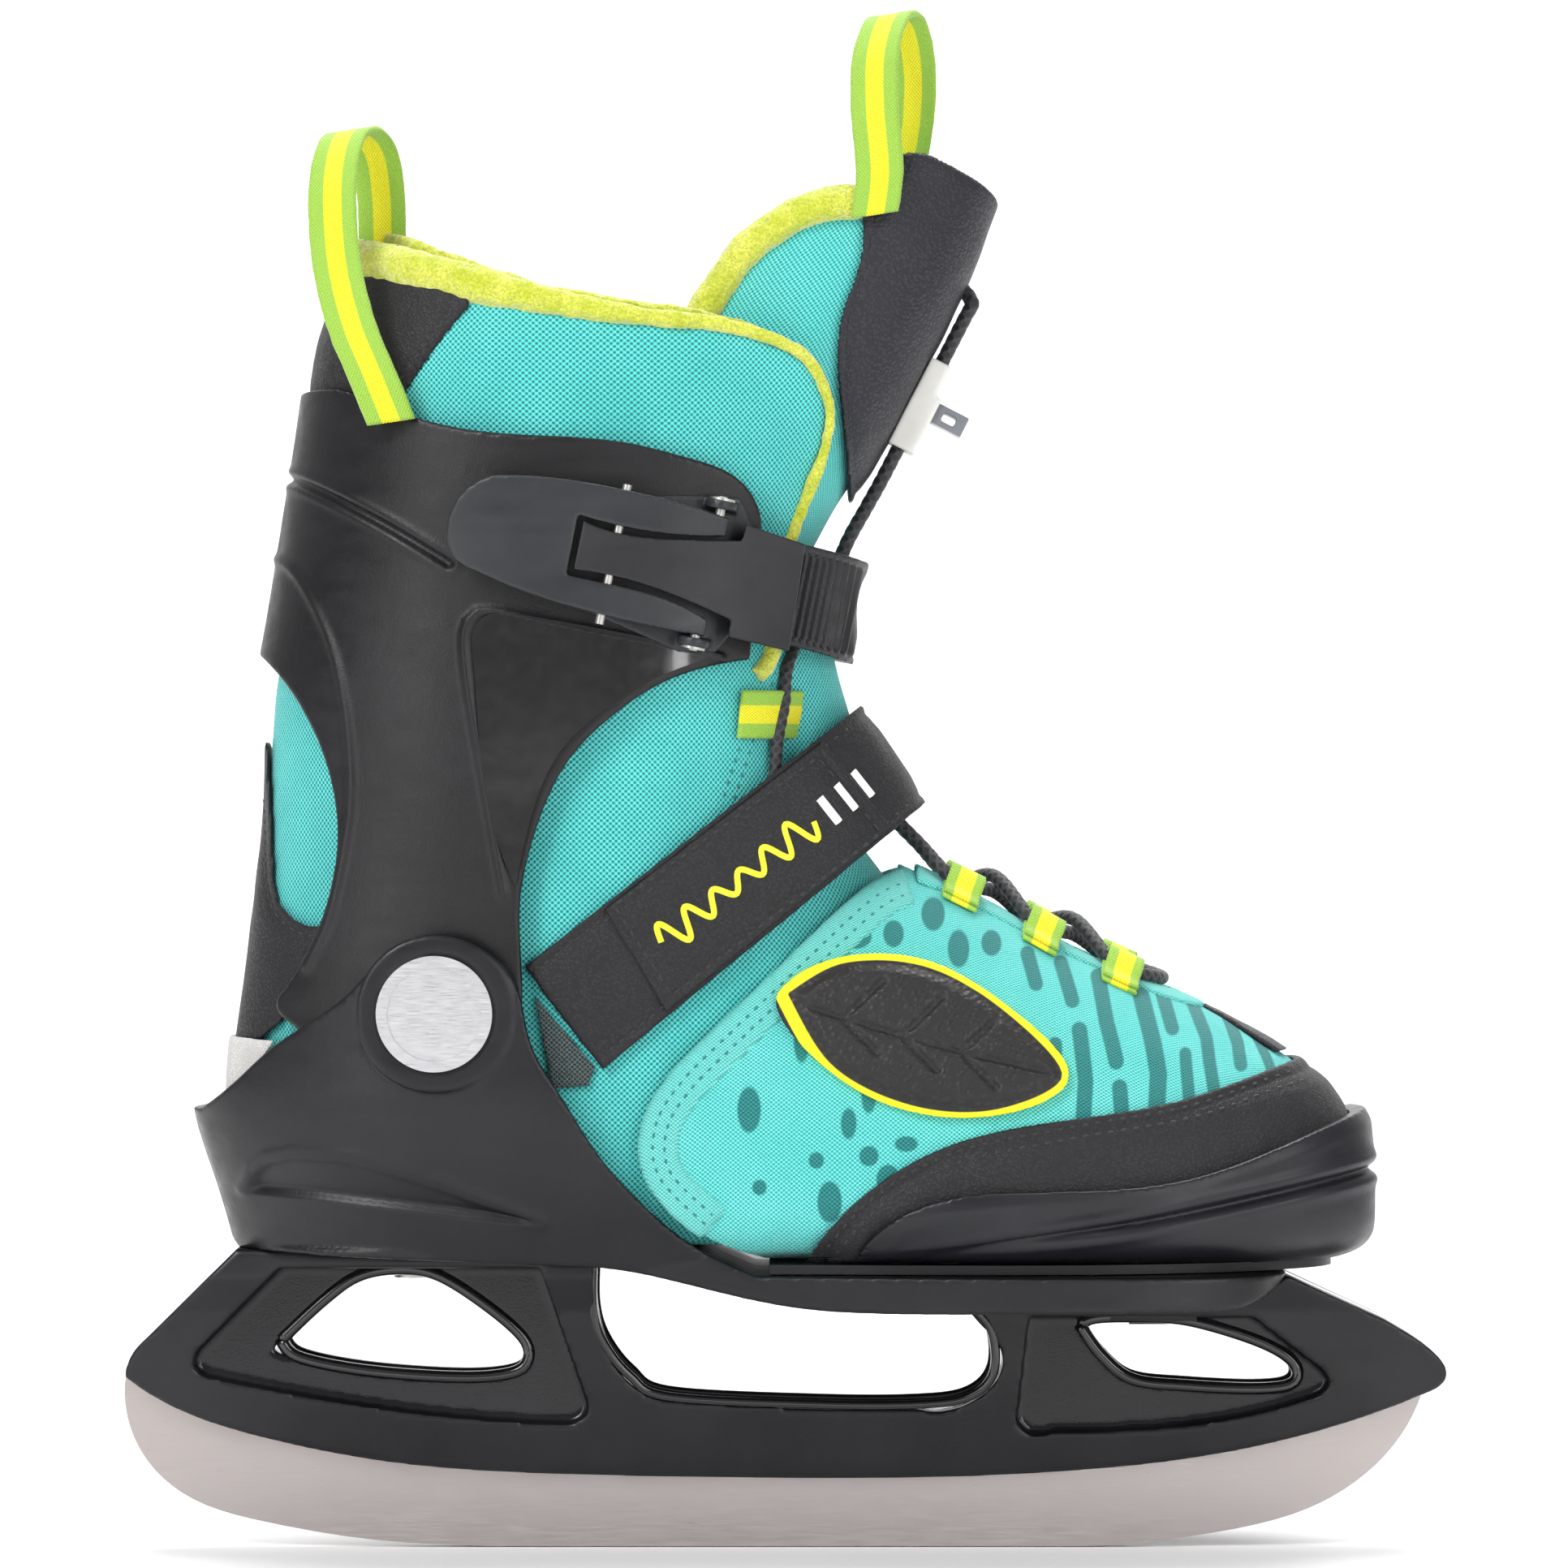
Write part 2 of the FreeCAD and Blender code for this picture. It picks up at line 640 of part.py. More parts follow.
# ---- buckle -------------------------------------------------------------
TILT = math.radians(11.5)                        # buckle hinge lines lean forward
HINGE_AXIS = V(math.sin(TILT), 0, math.cos(TILT))
LEVER_PIVOT = V(-15.5, -43.4, 202.0)
CATCH_PIVOT = V(-34.5, -46.4, 206.0)
PIN_R = 1.0


def along_hinge(point, start, end, radius):
    return rod(point + HINGE_AXIS * start, point + HINGE_AXIS * end, radius)


def outer_side(shape):
    return shape.common(box(-140.0, 60.0, -70.0, -5.0, 80.0, 300.0))


def plate_outline():
    return (
        ((-44.0, 217.0), (-20.0, 218.0)),
        ((-20.0, 218.0), (-9.0, 217.6)),
        ((-9.0, 217.6), (-6.6, 212.0), (-6.4, 206.0)),
        ((-6.4, 206.0), (-9.0, 192.0)),
        ((-9.0, 192.0), (-14.0, 186.2)),
        ((-14.0, 186.2), (-21.4, 186.2)),
        ((-21.4, 186.2), (-46.0, 197.0)),
        ((-46.0, 197.0), (-50.0, 206.0), (-44.0, 217.0)),
    )


def buckle_base():
    """Plate riveted on the cuff with two lugs for the lever."""
    plate = outer_side(on_cuff(0.1, 1.1)).common(side_prism(plate_outline(), -60.0, 0.0))
    lugs = []
    for start, end in ((13.3, 15.1), (-15.1, -13.3)):
        ear = along_hinge(LEVER_PIVOT, start, end, 3.2)
        foot = LEVER_PIVOT + HINGE_AXIS * start
        stem = Part.makeBox(6.4, 6.0, end - start, V(-3.2, 0, 0))
        stem.rotate(V(0, 0, 0), V(0, 1, 0), math.degrees(TILT))
        stem.translate(foot)
        lugs.append(ear.fuse(stem))
    body = plate.fuse(lugs[0]).fuse(lugs[1]).cut(shaft_solid(lambda z: CUFF_OUT(z) + 0.1))
    return body.cut(along_hinge(LEVER_PIVOT, -16.0, 16.0, PIN_R))


def lever_outline():
    return (
        ((-68.4, 210.0), (-66.6, 216.4), (-59.0, 221.8)),
        ((-59.0, 221.8), (-46.0, 221.2), (-32.8, 219.0), (-18.0, 215.4), (-11.1, 213.2)),
        ((-11.1, 213.2), (-11.9, 209.6)),
        ((-11.9, 209.6), (-23.0, 209.9), (-41.6, 213.8)),
        ((-41.6, 213.8), (-44.0, 201.6)),
        ((-44.0, 201.6), (-30.0, 198.6), (-24.0, 196.8), (-15.5, 192.5)),
        ((-15.5, 192.5), (-16.2, 189.1)),
        ((-16.2, 189.1), (-23.6, 190.6), (-44.0, 195.4), (-62.2, 202.4)),
        ((-62.2, 202.4), (-67.0, 205.6), (-68.4, 210.0)),
    )


def buckle_lever():
    """Over-centre lever, forked in front, hinged on the base."""
    body = outer_side(on_cuff(3.2, 7.2)).common(side_prism(lever_outline(), -70.0, 0.0))
    body = body.cut(along_hinge(LEVER_PIVOT, -14.0, 14.0, PIN_R + RUN))
    return body.cut(along_hinge(CATCH_PIVOT, -20.0, 20.0, PIN_R))


def catch_outline():
    return (
        ((-40.6, 212.6), (-40.2, 212.4), (-23.0, 208.9), (-8.6, 208.6)),
        ((-8.6, 208.6), (-7.6, 211.9)),
        ((-7.6, 211.9), (4.4, 208.2)),
        ((4.4, 208.2), (1.0, 186.4)),
        ((1.0, 186.4), (-11.4, 189.2)),
        ((-11.4, 189.2), (-10.8, 192.6)),
        ((-10.8, 192.6), (-24.0, 198.2), (-30.0, 200.2), (-42.6, 202.6)),
        ((-42.6, 202.6), (-40.6, 212.6)),
    )


def buckle_catch():
    """Catch that lies in the lever's fork and presses on the ribbed strap."""
    wall = outer_side(on_cuff(3.6, 7.0)).common(side_prism(catch_outline(), -70.0, 0.0))
    return wall.cut(along_hinge(CATCH_PIVOT, -8.0, 8.0, PIN_R + RUN))


def lever_pins():
    """Two short rivets through the lever's prongs and the base's lugs."""
    return group(along_hinge(LEVER_PIVOT, 8.6, 15.9, PIN_R), along_hinge(LEVER_PIVOT, -15.9, -10.0, PIN_R))


def lever_washers():
    return group(along_hinge(LEVER_PIVOT, 15.1, 15.6, 2.6).cut(along_hinge(LEVER_PIVOT, 15.0, 15.7, PIN_R)),
                 along_hinge(LEVER_PIVOT, -15.6, -15.1, 2.6).cut(along_hinge(LEVER_PIVOT, -15.7, -15.0,
                                                                             PIN_R)))


def catch_pin():
    """Rivet through the lever's rails and the catch."""
    return along_hinge(CATCH_PIVOT, -14.6, 14.2, PIN_R)


def strap_region():
    runs = (
        ((-40.0, 215.6), (4.6, 208.3), (24.0, 203.8)),
        ((24.0, 203.8), (24.0, 181.6)),
        ((24.0, 181.6), (1.5, 187.6), (-40.0, 195.0)),
        ((-40.0, 195.0), (-43.5, 205.0), (-40.0, 215.6)),
    )
    return side_prism(runs, -60.0, 60.0)


def ribbed_strap():
    """Toothed strap from the cuff's inner side round the shin to the catch."""
    band = on_cuff(0.1, 2.6).common(strap_region())
    band = band.cut(box(-60.0, -6.2, -60.0, 0.0, 150.0, 240.0))
    return band.cut(rod(V(-30.0, 30.0, 205.5), V(-30.0, 60.0, 205.5), 2.0))


def strap_rivet():
    shank = rod(V(-30.0, 37.6, 205.5), V(-30.0, 45.6, 205.5), 2.0)
    head = rod(V(-30.0, 44.6, 205.5), V(-30.0, 45.8, 205.5), 4.0)
    return shank.fuse(head)


# ---- instep strap -------------------------------------------------------
STRAP_BULGE = tapering((90.0, 3.0), (105.0, 5.0), (120.0, 9.0), (135.0, 16.0), (150.0, 17.2),
                       (165.0, 13.0), (180.0, 5.0), (195.0, 2.0), (300.0, 2.0))


def power_strap():
    """Leather instep strap, held to the boot under the heel cup's front rim."""
    runs = polygon((-53.0, 122.0), (-37.0, 101.0), (36.0, 160.8), (40.0, 194.3))
    return shaft_shell(0.4, 0.4 + STRAP_T, STRAP_BULGE).common(side_prism(runs, -60.0, 60.0))


def strap_patch():
    """Second layer stitched on the outer side of the instep strap."""
    runs = polygon((-36.6, 133.6), (-24.0, 112.8), (22.0, 150.4), (8.0, 168.0))
    layer = shaft_shell(2.5, 3.6, STRAP_BULGE)
    return layer.common(side_prism(runs, -60.0, -5.0))


def hook_loop_pad():
    """Hook-and-loop end of the instep strap, below its edge."""
    runs = polygon((-51.0, 116.0), (-47.4, 97.0), (-40.0, 97.6), (-38.6, 101.4))
    return shaft_shell(0.3, 1.5).common(side_prism(runs, -60.0, 0.0))


# ---- toe box ------------------------------------------------------------
def toe_outline(rear):
    """Side view of the toe box behind its rear edge line."""
    return rear + (
        ((24.0, 200.0), (150.0, 200.0)),
        ((150.0, 200.0), (150.0, 61.0)),
        ((150.0, 61.0), (-4.0, 61.0)),
    )


REAR_EDGE = (
    ((-4.0, 61.0), (-6.0, 62.6)),
    ((-6.0, 62.6), (-17.0, 67.4), (-27.6, 78.4)),
    ((-27.6, 78.4), (-28.4, 90.0), (-22.7, 99.8), (-13.3, 109.3), (-0.2, 121.8), (12.4, 133.7),
     (19.0, 138.9),
     (24.0, 141.0)),
    ((24.0, 141.0), (24.0, 200.0)),
)


def lace_slit(half, x0, x1):
    """Plan of the lacing gap, round at the toe end."""
    right = ((x0, half), (x1 - half, half + 1.0))
    nose = ((x1 - half, half + 1.0), (x1 - 2.0, half * 0.6 + 2.0), (x1, 2.5), (x1 - 2.0, 3.0 - half * 0.6),
            (x1 - half, 3.0 - half))
    left = ((x1 - half, 3.0 - half), (x0, -half))
    return plan_prism((right, nose, left, ((x0, -half), (x0, half))), 90.0, 190.0)


def front_upper():
    """Knit forefoot that slides over the heel part, slit for the laces."""
    body = foot_shell(-2.4, 0.0, -1.6, 1.0).common(side_prism(toe_outline(REAR_EDGE), -60.0, 60.0))
    heel_part = shaft_solid(0.2).common(lower_region())
    return body.cut(lace_slit(10.5, -40.0, 82.0)).cut(heel_part)


def toe_liner():
    """Soft lining of the toe box, closed under the laces."""
    body = foot_shell(-4.6, -2.7, -3.2, 1.0)
    return body.common(box(36.0, 130.0, -50.0, 50.0, 62.6, 200.0))


def eyestay():
    """Band round the lacing gap."""
    ring = lace_slit(16.0, 19.5, 88.0).cut(lace_slit(10.5, -40.0, 82.0))
    return foot_shell(0.2, 1.2).common(ring)


def toe_sole():
    """Flat sole of the toe box, which slides on the shell's bar."""
    right = ((-3.0, 31.0), (20.0, 34.0), (50.0, 37.0), (75.0, 36.0), (95.0, 30.0), (106.0, 22.0),
             (113.6, 10.0), (114.6, 4.0))
    left = ((114.6, 4.0), (113.6, -3.0), (106.0, -14.0), (95.0, -22.0), (75.0, -29.5), (50.0, -33.0),
            (20.0, -32.0), (-3.0, -31.0))
    return plan_prism((right, left, ((-3.0, -31.0), (-3.0, 31.0))), 58.9, 60.8)


def toe_bumper():
    """Leather band round the toe under the hard cap."""
    runs = (
        ((4.0, 61.0), (16.0, 75.3), (33.0, 85.5), (56.8, 90.8), (82.3, 95.0), (101.0, 100.6),
         (118.0, 104.0)),
        ((118.0, 104.0), (150.0, 104.0)),
        ((150.0, 104.0), (150.0, 61.0)),
        ((150.0, 61.0), (4.0, 61.0)),
    )
    return foot_shell(0.2, 1.4).common(side_prism(runs, -60.0, 60.0))


def toe_cap():
    """Hard plastic toe cap with a groove along each side."""
    runs = (
        ((14.0, 61.0), (21.9, 70.2), (31.3, 74.5), (48.3, 76.4), (82.3, 78.9), (101.0, 84.9),
         (114.6, 90.0), (126.0, 92.8)),
        ((126.0, 92.8), (150.0, 92.8)),
        ((150.0, 92.8), (150.0, 61.0)),
        ((150.0, 61.0), (14.0, 61.0)),
    )
    return foot_shell(1.8, 4.6).common(side_prism(runs, -60.0, 60.0))


def toe_overlay():
    """Leather strip over the tip of the toe."""
    runs = (
        ((86.0, 8.6), (100.0, 15.0), (126.0, 20.0)),
        ((126.0, 20.0), (126.0, -12.0)),
        ((126.0, -12.0), (100.0, -8.0), (86.0, -2.0)),
        ((86.0, -2.0), (88.4, 3.4), (86.0, 8.6)),
    )
    band = foot_shell(0.2, 1.2).common(plan_prism(runs, 96.0, 140.0)).cut(lace_slit(16.2, 19.5, 88.2))
    return band.common(side_prism(polygon((80.0, 140.0), (80.0, 98.6), (101.0, 103.4), (130.0, 106.6),
                                          (130.0, 140.0)), -60.0, 60.0))


def emblem_pad():
    """Padded leaf-shaped badge on the outer side, plain."""
    outline = ((-1.0, 117.0), (12.0, 124.0), (30.0, 123.0), (47.0, 113.0), (58.0, 99.6), (44.0, 92.0),
               (26.0, 92.6), (9.0, 101.0))
    return foot_shell(0.2, 2.4).common(smooth_prism(outline, -60.0, 0.0))


# ---- laces and loops ----------------------------------------------------
def foot_top(x, y):
    """Height of the forefoot's outer surface above a plan point."""
    lean = mix(FOOT, x, 1)
    half = mix(FOOT, x, 2)
    side = mix(FOOT, x, 4)
    top = mix(FOOT, x, 5)
    share = min(abs(y - lean) / half, 0.99)
    return side + (top - side) * (1 - share ** 2.35) ** (1 / 2.35)


def cord(points, name):
    """Round cord along straight runs joined by tangent arcs."""
    edges = []
    start = points[0]
    for before, corner, after in zip(points, points[1:], points[2:]):
        into = corner - before
        out = after - corner
        trim = 0.45 * min(into.Length, out.Length)
        turn = into.getAngle(out)
        print(name, "bend radius", round(trim / math.tan(turn / 2), 1))
        into.normalize()
        out.normalize()
        first = corner - into * trim
        last = corner + out * trim
        bulge = out - into
        reach = trim / math.tan(turn / 2)
        centre = corner + bulge.normalize() * (reach / math.cos(turn / 2))
        middle = centre + (corner - centre).normalize() * reach
        edges.append(Part.makeLine(start, first))
        edges.append(Part.Arc(first, middle, last).toShape())
        start = last
    edges.append(Part.makeLine(start, points[-1]))
    path = Part.Wire(edges)
    along = (points[1] - points[0]).normalize()
    ring = Part.Wire([Part.makeCircle(LACE_R, points[0], along)])
    return path.makePipeShell([ring], True, False)


LOOP_X = (36.0, 52.5, 69.0)     # stations of the front lace loops
LOOP_Y = 13.0


def front_lace():
    """Lace zigzag over the toe box, one cord out and back."""
    def over(x, y, lift):
        return V(x, y + 1.5, foot_top(x, y + 1.5) + lift)
    a, b, c = LOOP_X
    rest = 3.4
    points = [V(26.0, -4.0, 151.0)]
    points += [over(a, -LOOP_Y, rest), over((a + b) / 2, 0.0, 3.0), over(b, LOOP_Y, rest)]
    points += [over((b + c) / 2, 0.0, 6.6), over(c, -LOOP_Y, rest), over(c + 10.0, -5.0, rest)]
    points += [over(c + 10.0, 5.0, rest), over(c, LOOP_Y, rest), over((b + c) / 2, 0.0, 3.0)]
    points += [over(b, -LOOP_Y, rest), over((a + b) / 2, 0.0, 6.6), over(a, LOOP_Y, rest)]
    points += [V(26.0, 7.0, 151.0)]
    return cord(points, "front_lace")


def lace_loop(x, side):
    """Webbing loop that holds the lace at one edge of the gap."""
    y = side * LOOP_Y + 1.5
    fall = math.degrees(math.atan2(foot_top(x + 4.0, y) - foot_top(x - 4.0, y), 8.0))
    sleeve = Part.makeCylinder(2.6, 8.0, V(-4.0, 0, 0), V(1, 0, 0))
    hole = Part.makeCylinder(1.75, 8.4, V(-4.2, 0, 0), V(1, 0, 0))
    tail = Part.makeBox(8.0, 9.0, 0.9, V(-4.0, 0.0, -2.6))
    if side < 0:
        tail = Part.makeBox(8.0, 9.0, 0.9, V(-4.0, -9.0, -2.6))
    loop = sleeve.fuse(tail).cut(hole)
    loop.rotate(V(0, 0, 0), V(1, 0, 0), -side * 15.0)
    loop.rotate(V(0, 0, 0), V(0, 1, 0), -fall)
    loop.translate(V(x, y, foot_top(x, y) + 3.4 + 0.6))
    return loop


def front_lace_loops():
    """Six loops, each shaped round the lace and clear of the eyestay."""
    lace = front_lace()
    stay = foot_solid(1.3)
    return group(*[lace_loop(x, side).cut(lace).cut(stay) for x in LOOP_X for side in (-1, 1)])


# ---- upper lace and its lock --------------------------------------------
LACE_UP = V(0.457, 0, 0.889)        # direction of the lace over the tongue
LACE_MID = V(28.4, 0, 238.4)        # centre of the lock on the lace's plane
STRANDS = 2.4                       # half the spacing of the two strands


def lock_space(u0, u1, half, n0, n1):
    """Box beside the lace: along it, across it and outwards from it."""
    block = Part.makeBox(n1 - n0, 2 * half, u1 - u0, V(n0, -half, u0))
    block.rotate(V(0, 0, 0), V(0, 1, 0), math.degrees(math.atan2(LACE_UP.x, LACE_UP.z)))
    block.translate(LACE_MID)
    return block


def upper_lace():
    """Lace from the eyelet in the tongue patch down under the ribbed strap."""
    top = LACE_MID + LACE_UP * 24.0
    low = LACE_MID - LACE_UP * 26.0
    points = [V(7.6, -9.0, 193.4), V(12.4, -5.0, 208.0)]
    points += [V(low.x, -STRANDS, low.z), V(top.x, -STRANDS, top.z)]
    points += [V(top.x, STRANDS, top.z), V(low.x, STRANDS, low.z)]
    points += [V(12.4, 5.0, 208.0), V(7.6, 9.0, 193.4)]
    return cord(points, "upper_lace")


def lace_lock():
    """Wedge-shaped lock on the two strands."""
    body = lock_space(-10.0, 10.0, 5.6, -2.4, 3.6)
    body = body.cut(lock_space(3.0, 20.0, 7.0, 2.2, 6.0))
    for side in (-1, 1):
        start = LACE_MID + V(0, side * STRANDS, 0) - LACE_UP * 14.0
        body = body.cut(rod(start, start + LACE_UP * 28.0, LACE_R + 0.12))
    return body.cut(lock_space(-2.4, 2.4, 4.2, 1.8, 6.0))


def lock_button():
    """Pull tab of the lace lock, with a slot in its end."""
    tab = lock_space(-2.2, 2.2, 4.0, 2.0, 10.5)
    return tab.cut(lock_space(-0.9, 0.9, 6.0, 5.2, 8.2))


# ---- pull loops ---------------------------------------------------------
def pull_loop(near, far, foot_near, foot_far, top, x0, x1):
    """Webbing band up on one side, over and down on the other."""
    middle = (near + far) / 2
    half = (far - near) / 2
    outer = (
        ((near, foot_near), (near, top - half)),
        ((near, top - half), (near + 0.3 * half, top - 0.3 * half), (middle, top),
         (far - 0.3 * half, top - 0.3 * half),
         (far, top - half)),
        ((far, top - half), (far, foot_far)),
        ((far, foot_far), (far - WEB_T, foot_far)),
        ((far - WEB_T, foot_far), (far - WEB_T, top - half)),
        ((far - WEB_T, top - half), (far - WEB_T - 0.26 * half, top - 0.34 * half - WEB_T),
         (middle, top - WEB_T),
         (near + WEB_T + 0.26 * half, top - 0.34 * half - WEB_T), (near + WEB_T, top - half)),
        ((near + WEB_T, top - half), (near + WEB_T, foot_near)),
        ((near + WEB_T, foot_near), (near, foot_near)),
    )
    return end_prism(outer, x0, x1)


def tongue_pull_loop():
    return pull_loop(-28.2, -10.0, 276.0, 291.0, 319.0, 16.8, 16.8 + WEB_W)


def heel_pull_loop():
    return pull_loop(-29.4, -9.4, 242.0, 276.6, 295.0, -93.6, -93.6 + WEB_W)


NODES = {
    "blade": blade,
    "blade_holder": blade_holder,
    "mounting_bolts": mounting_bolts,
    "base_shell": base_shell,
    "size_button": size_button,
    "pivot_bolts": pivot_bolts,
    "pivot_caps": pivot_caps,
    "rear_boot": rear_boot,
    "insole": insole,
    "heel_leather": heel_leather,
    "heel_tab": heel_tab,
    "power_strap": power_strap,
    "strap_patch": strap_patch,
    "hook_loop_pad": hook_loop_pad,
    "cuff": cuff,
    "cuff_inset": cuff_inset,
    "boot_shaft": boot_shaft,
    "collar_lining": collar_lining,
    "collar_leather": collar_leather,
    "tongue": tongue,
    "tongue_leather": tongue_leather,
    "tongue_pull_loop": tongue_pull_loop,
    "heel_pull_loop": heel_pull_loop,
    "upper_lace": upper_lace,
    "lace_lock": lace_lock,
    "lock_button": lock_button,
    "buckle_base": buckle_base,
    "buckle_lever": buckle_lever,
    "buckle_catch": buckle_catch,
    "lever_pins": lever_pins,
    "lever_washers": lever_washers,
    "catch_pin": catch_pin,
    "ribbed_strap": ribbed_strap,
    "strap_rivet": strap_rivet,
    "front_upper": front_upper,
    "toe_liner": toe_liner,
    "eyestay": eyestay,
    "toe_sole": toe_sole,
    "toe_bumper": toe_bumper,
    "toe_cap": toe_cap,
    "toe_overlay": toe_overlay,
    "emblem_pad": emblem_pad,
    "front_lace": front_lace,
    "front_lace_loops": front_lace_loops,
}

os.makedirs("parts", exist_ok=True)
for name, build in NODES.items():
    shape = build()
    pieces = len(shape.Solids)
    box_now = shape.BoundBox
    print(name, "solids", pieces, "valid", shape.isValid(), "volume", round(shape.Volume),
          "x", round(box_now.XMin), round(box_now.XMax), "y", round(box_now.YMin), round(box_now.YMax),
          "z", round(box_now.ZMin), round(box_now.ZMax))
    shape.exportStep("parts/" + name + ".step")
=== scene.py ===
import math

import bmesh
import bpy
import numpy as np
from mathutils import Matrix, Vector, noise
from mathutils.bvhtree import BVHTree


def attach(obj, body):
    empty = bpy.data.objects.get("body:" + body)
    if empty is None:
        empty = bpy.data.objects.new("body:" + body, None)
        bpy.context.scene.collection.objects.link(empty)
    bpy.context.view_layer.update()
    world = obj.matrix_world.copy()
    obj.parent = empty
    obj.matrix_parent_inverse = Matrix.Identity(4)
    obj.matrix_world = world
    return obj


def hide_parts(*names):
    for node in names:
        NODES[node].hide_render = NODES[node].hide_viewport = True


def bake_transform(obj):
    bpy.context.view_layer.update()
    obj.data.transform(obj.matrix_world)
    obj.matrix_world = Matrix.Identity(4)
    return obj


# Children's soft-boot ice skate, right foot. Lists of points are in
# millimetres, as in the part's source; meshes and materials are in metres.
MM = 0.001

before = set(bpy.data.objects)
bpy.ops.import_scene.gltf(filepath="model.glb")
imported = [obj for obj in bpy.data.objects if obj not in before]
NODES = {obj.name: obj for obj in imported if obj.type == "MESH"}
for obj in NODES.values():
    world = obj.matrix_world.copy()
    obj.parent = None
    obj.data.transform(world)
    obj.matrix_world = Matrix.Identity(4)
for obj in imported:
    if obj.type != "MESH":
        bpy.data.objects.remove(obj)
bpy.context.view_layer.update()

# ---- the boot's form, as in the part's source ----------------------------
# height, back of heel, front, half width
SHAFT = (
    (56.0, -106.0, 80.0, 23.5),
    (64.0, -109.5, 84.0, 27.0),
    (76.0, -112.6, 86.0, 32.0),
    (90.0, -113.6, 78.0, 33.0),
    (105.0, -113.0, 58.0, 33.0),
    (120.0, -111.0, 36.0, 33.0),
    (135.0, -109.2, 25.0, 33.3),
    (150.0, -107.8, 14.0, 34.0),
    (165.0, -107.2, 8.0, 35.0),
    (180.0, -105.8, 7.0, 36.0),
    (195.0, -103.6, 8.5, 36.7),
    (210.0, -101.2, 13.0, 37.2),
    (225.0, -98.8, 24.0, 37.5),
    (240.0, -96.6, 34.0, 37.5),
    (256.0, -93.8, 42.0, 37.2),
    (276.0, -90.0, 50.0, 36.8),
)
# station, sideways lean, half width, height of the side, top
FOOT = (
    (-40.0, 0.0, 36.0, 78.0, 172.0),
    (-20.0, 0.0, 37.0, 78.0, 162.0),
    (0.0, 0.5, 38.0, 78.0, 152.0),
    (20.0, 1.0, 39.5, 78.0, 145.5),
    (40.0, 1.8, 41.5, 77.0, 136.0),
    (60.0, 2.6, 42.0, 76.0, 125.0),
    (80.0, 3.4, 40.0, 75.0, 116.0),
    (95.0, 4.0, 35.5, 74.5, 108.5),
    (107.0, 4.2, 29.0, 74.5, 101.0),
    (114.5, 4.2, 21.5, 74.5, 92.5),
    (118.0, 4.2, 13.5, 74.5, 84.0),
)
# height, front, half width
TONGUE = (
    (160.0, 17.0, 22.0),
    (170.0, 9.6, 24.0),
    (180.0, 2.6, 25.0),
    (190.0, 1.2, 26.0),
    (200.0, 3.2, 27.0),
    (212.0, 8.6, 27.5),
    (226.0, 16.8, 27.5),
    (240.0, 24.2, 27.5),
    (254.0, 31.4, 27.0),
    (268.0, 37.8, 26.0),
    (280.0, 42.2, 24.5),
    (294.0, 45.4, 22.0),
)
WIDEST_X = -45.0
TONGUE_REACH = 32.0
# how square each rounded section is; 2 is an ellipse
SHAFT_SQUARE, TONGUE_SQUARE, TOE_SQUARE = 2.25, 2.2, 2.35
SHAFT_ROUND = 2 / SHAFT_SQUARE
PIVOT = (-71.0, 112.6)


def column_at(table, key, column):
    """Smooth value of a table's column between its rows."""
    keys = [row[0] for row in table]
    i = min(max(int(np.searchsorted(keys, key)) - 1, 0), len(keys) - 2)
    rows = [table[min(max(i + k, 0), len(table) - 1)][column] for k in (-1, 0, 1, 2)]
    t = min(max((key - keys[i]) / (keys[i + 1] - keys[i]), 0.0), 1.0)
    slope_in = (rows[2] - rows[0]) / 2
    slope_out = (rows[3] - rows[1]) / 2
    keep = 2 * t**3 - 3 * t**2 + 1
    return (keep * rows[1] + (1 - keep) * rows[2]
            + (t**3 - 2 * t**2 + t) * slope_in + (t**3 - t**2) * slope_out)


def power(value, exponent):
    return math.copysign(abs(value) ** exponent, value)


def oval(share, square):
    """Height of a squared oval at that share of its half width."""
    return (1 - min(share, 1.0) ** square) ** (1 / square)


def shaft_size(z, ahead, grow):
    """Reach of the boot form from its widest place, forward or back, and its half width."""
    reach = column_at(SHAFT, z, 2) - WIDEST_X if ahead else WIDEST_X - column_at(SHAFT, z, 1)
    return reach + grow, column_at(SHAFT, z, 3) + grow


def shaft_point(z, turn, grow):
    """Point of the boot form at a height and an angle round it, in mm."""
    reach, half = shaft_size(z, math.cos(turn) > 0, grow)
    x = WIDEST_X + reach * power(math.cos(turn), SHAFT_ROUND)
    return Vector((x, half * power(math.sin(turn), SHAFT_ROUND), z))


def shaft_y(x, z, grow):
    """Half breadth of the boot form at a side-view point."""
    reach, half = shaft_size(z, x > WIDEST_X, grow)
    return half * oval(abs(x - WIDEST_X) / reach, SHAFT_SQUARE)


def tongue_y(x, z, grow):
    """Half breadth of the tongue's form at a side-view point."""
    away = abs(x - column_at(TONGUE, z, 1) + TONGUE_REACH) / (TONGUE_REACH + grow)
    return (column_at(TONGUE, z, 2) + grow) * oval(away, TONGUE_SQUARE)


def foot_top(x, y):
    """Height of the toe box's surface above a plan point."""
    lean, half, side, top = (column_at(FOOT, x, column) for column in (1, 2, 3, 4))
    return side + (top - side) * oval(min(abs(y - lean) / half, 0.99), TOE_SQUARE)


def polar(angle, radius):
    turn = math.radians(angle)
    return (PIVOT[0] + radius * math.cos(turn), PIVOT[1] + radius * math.sin(turn))


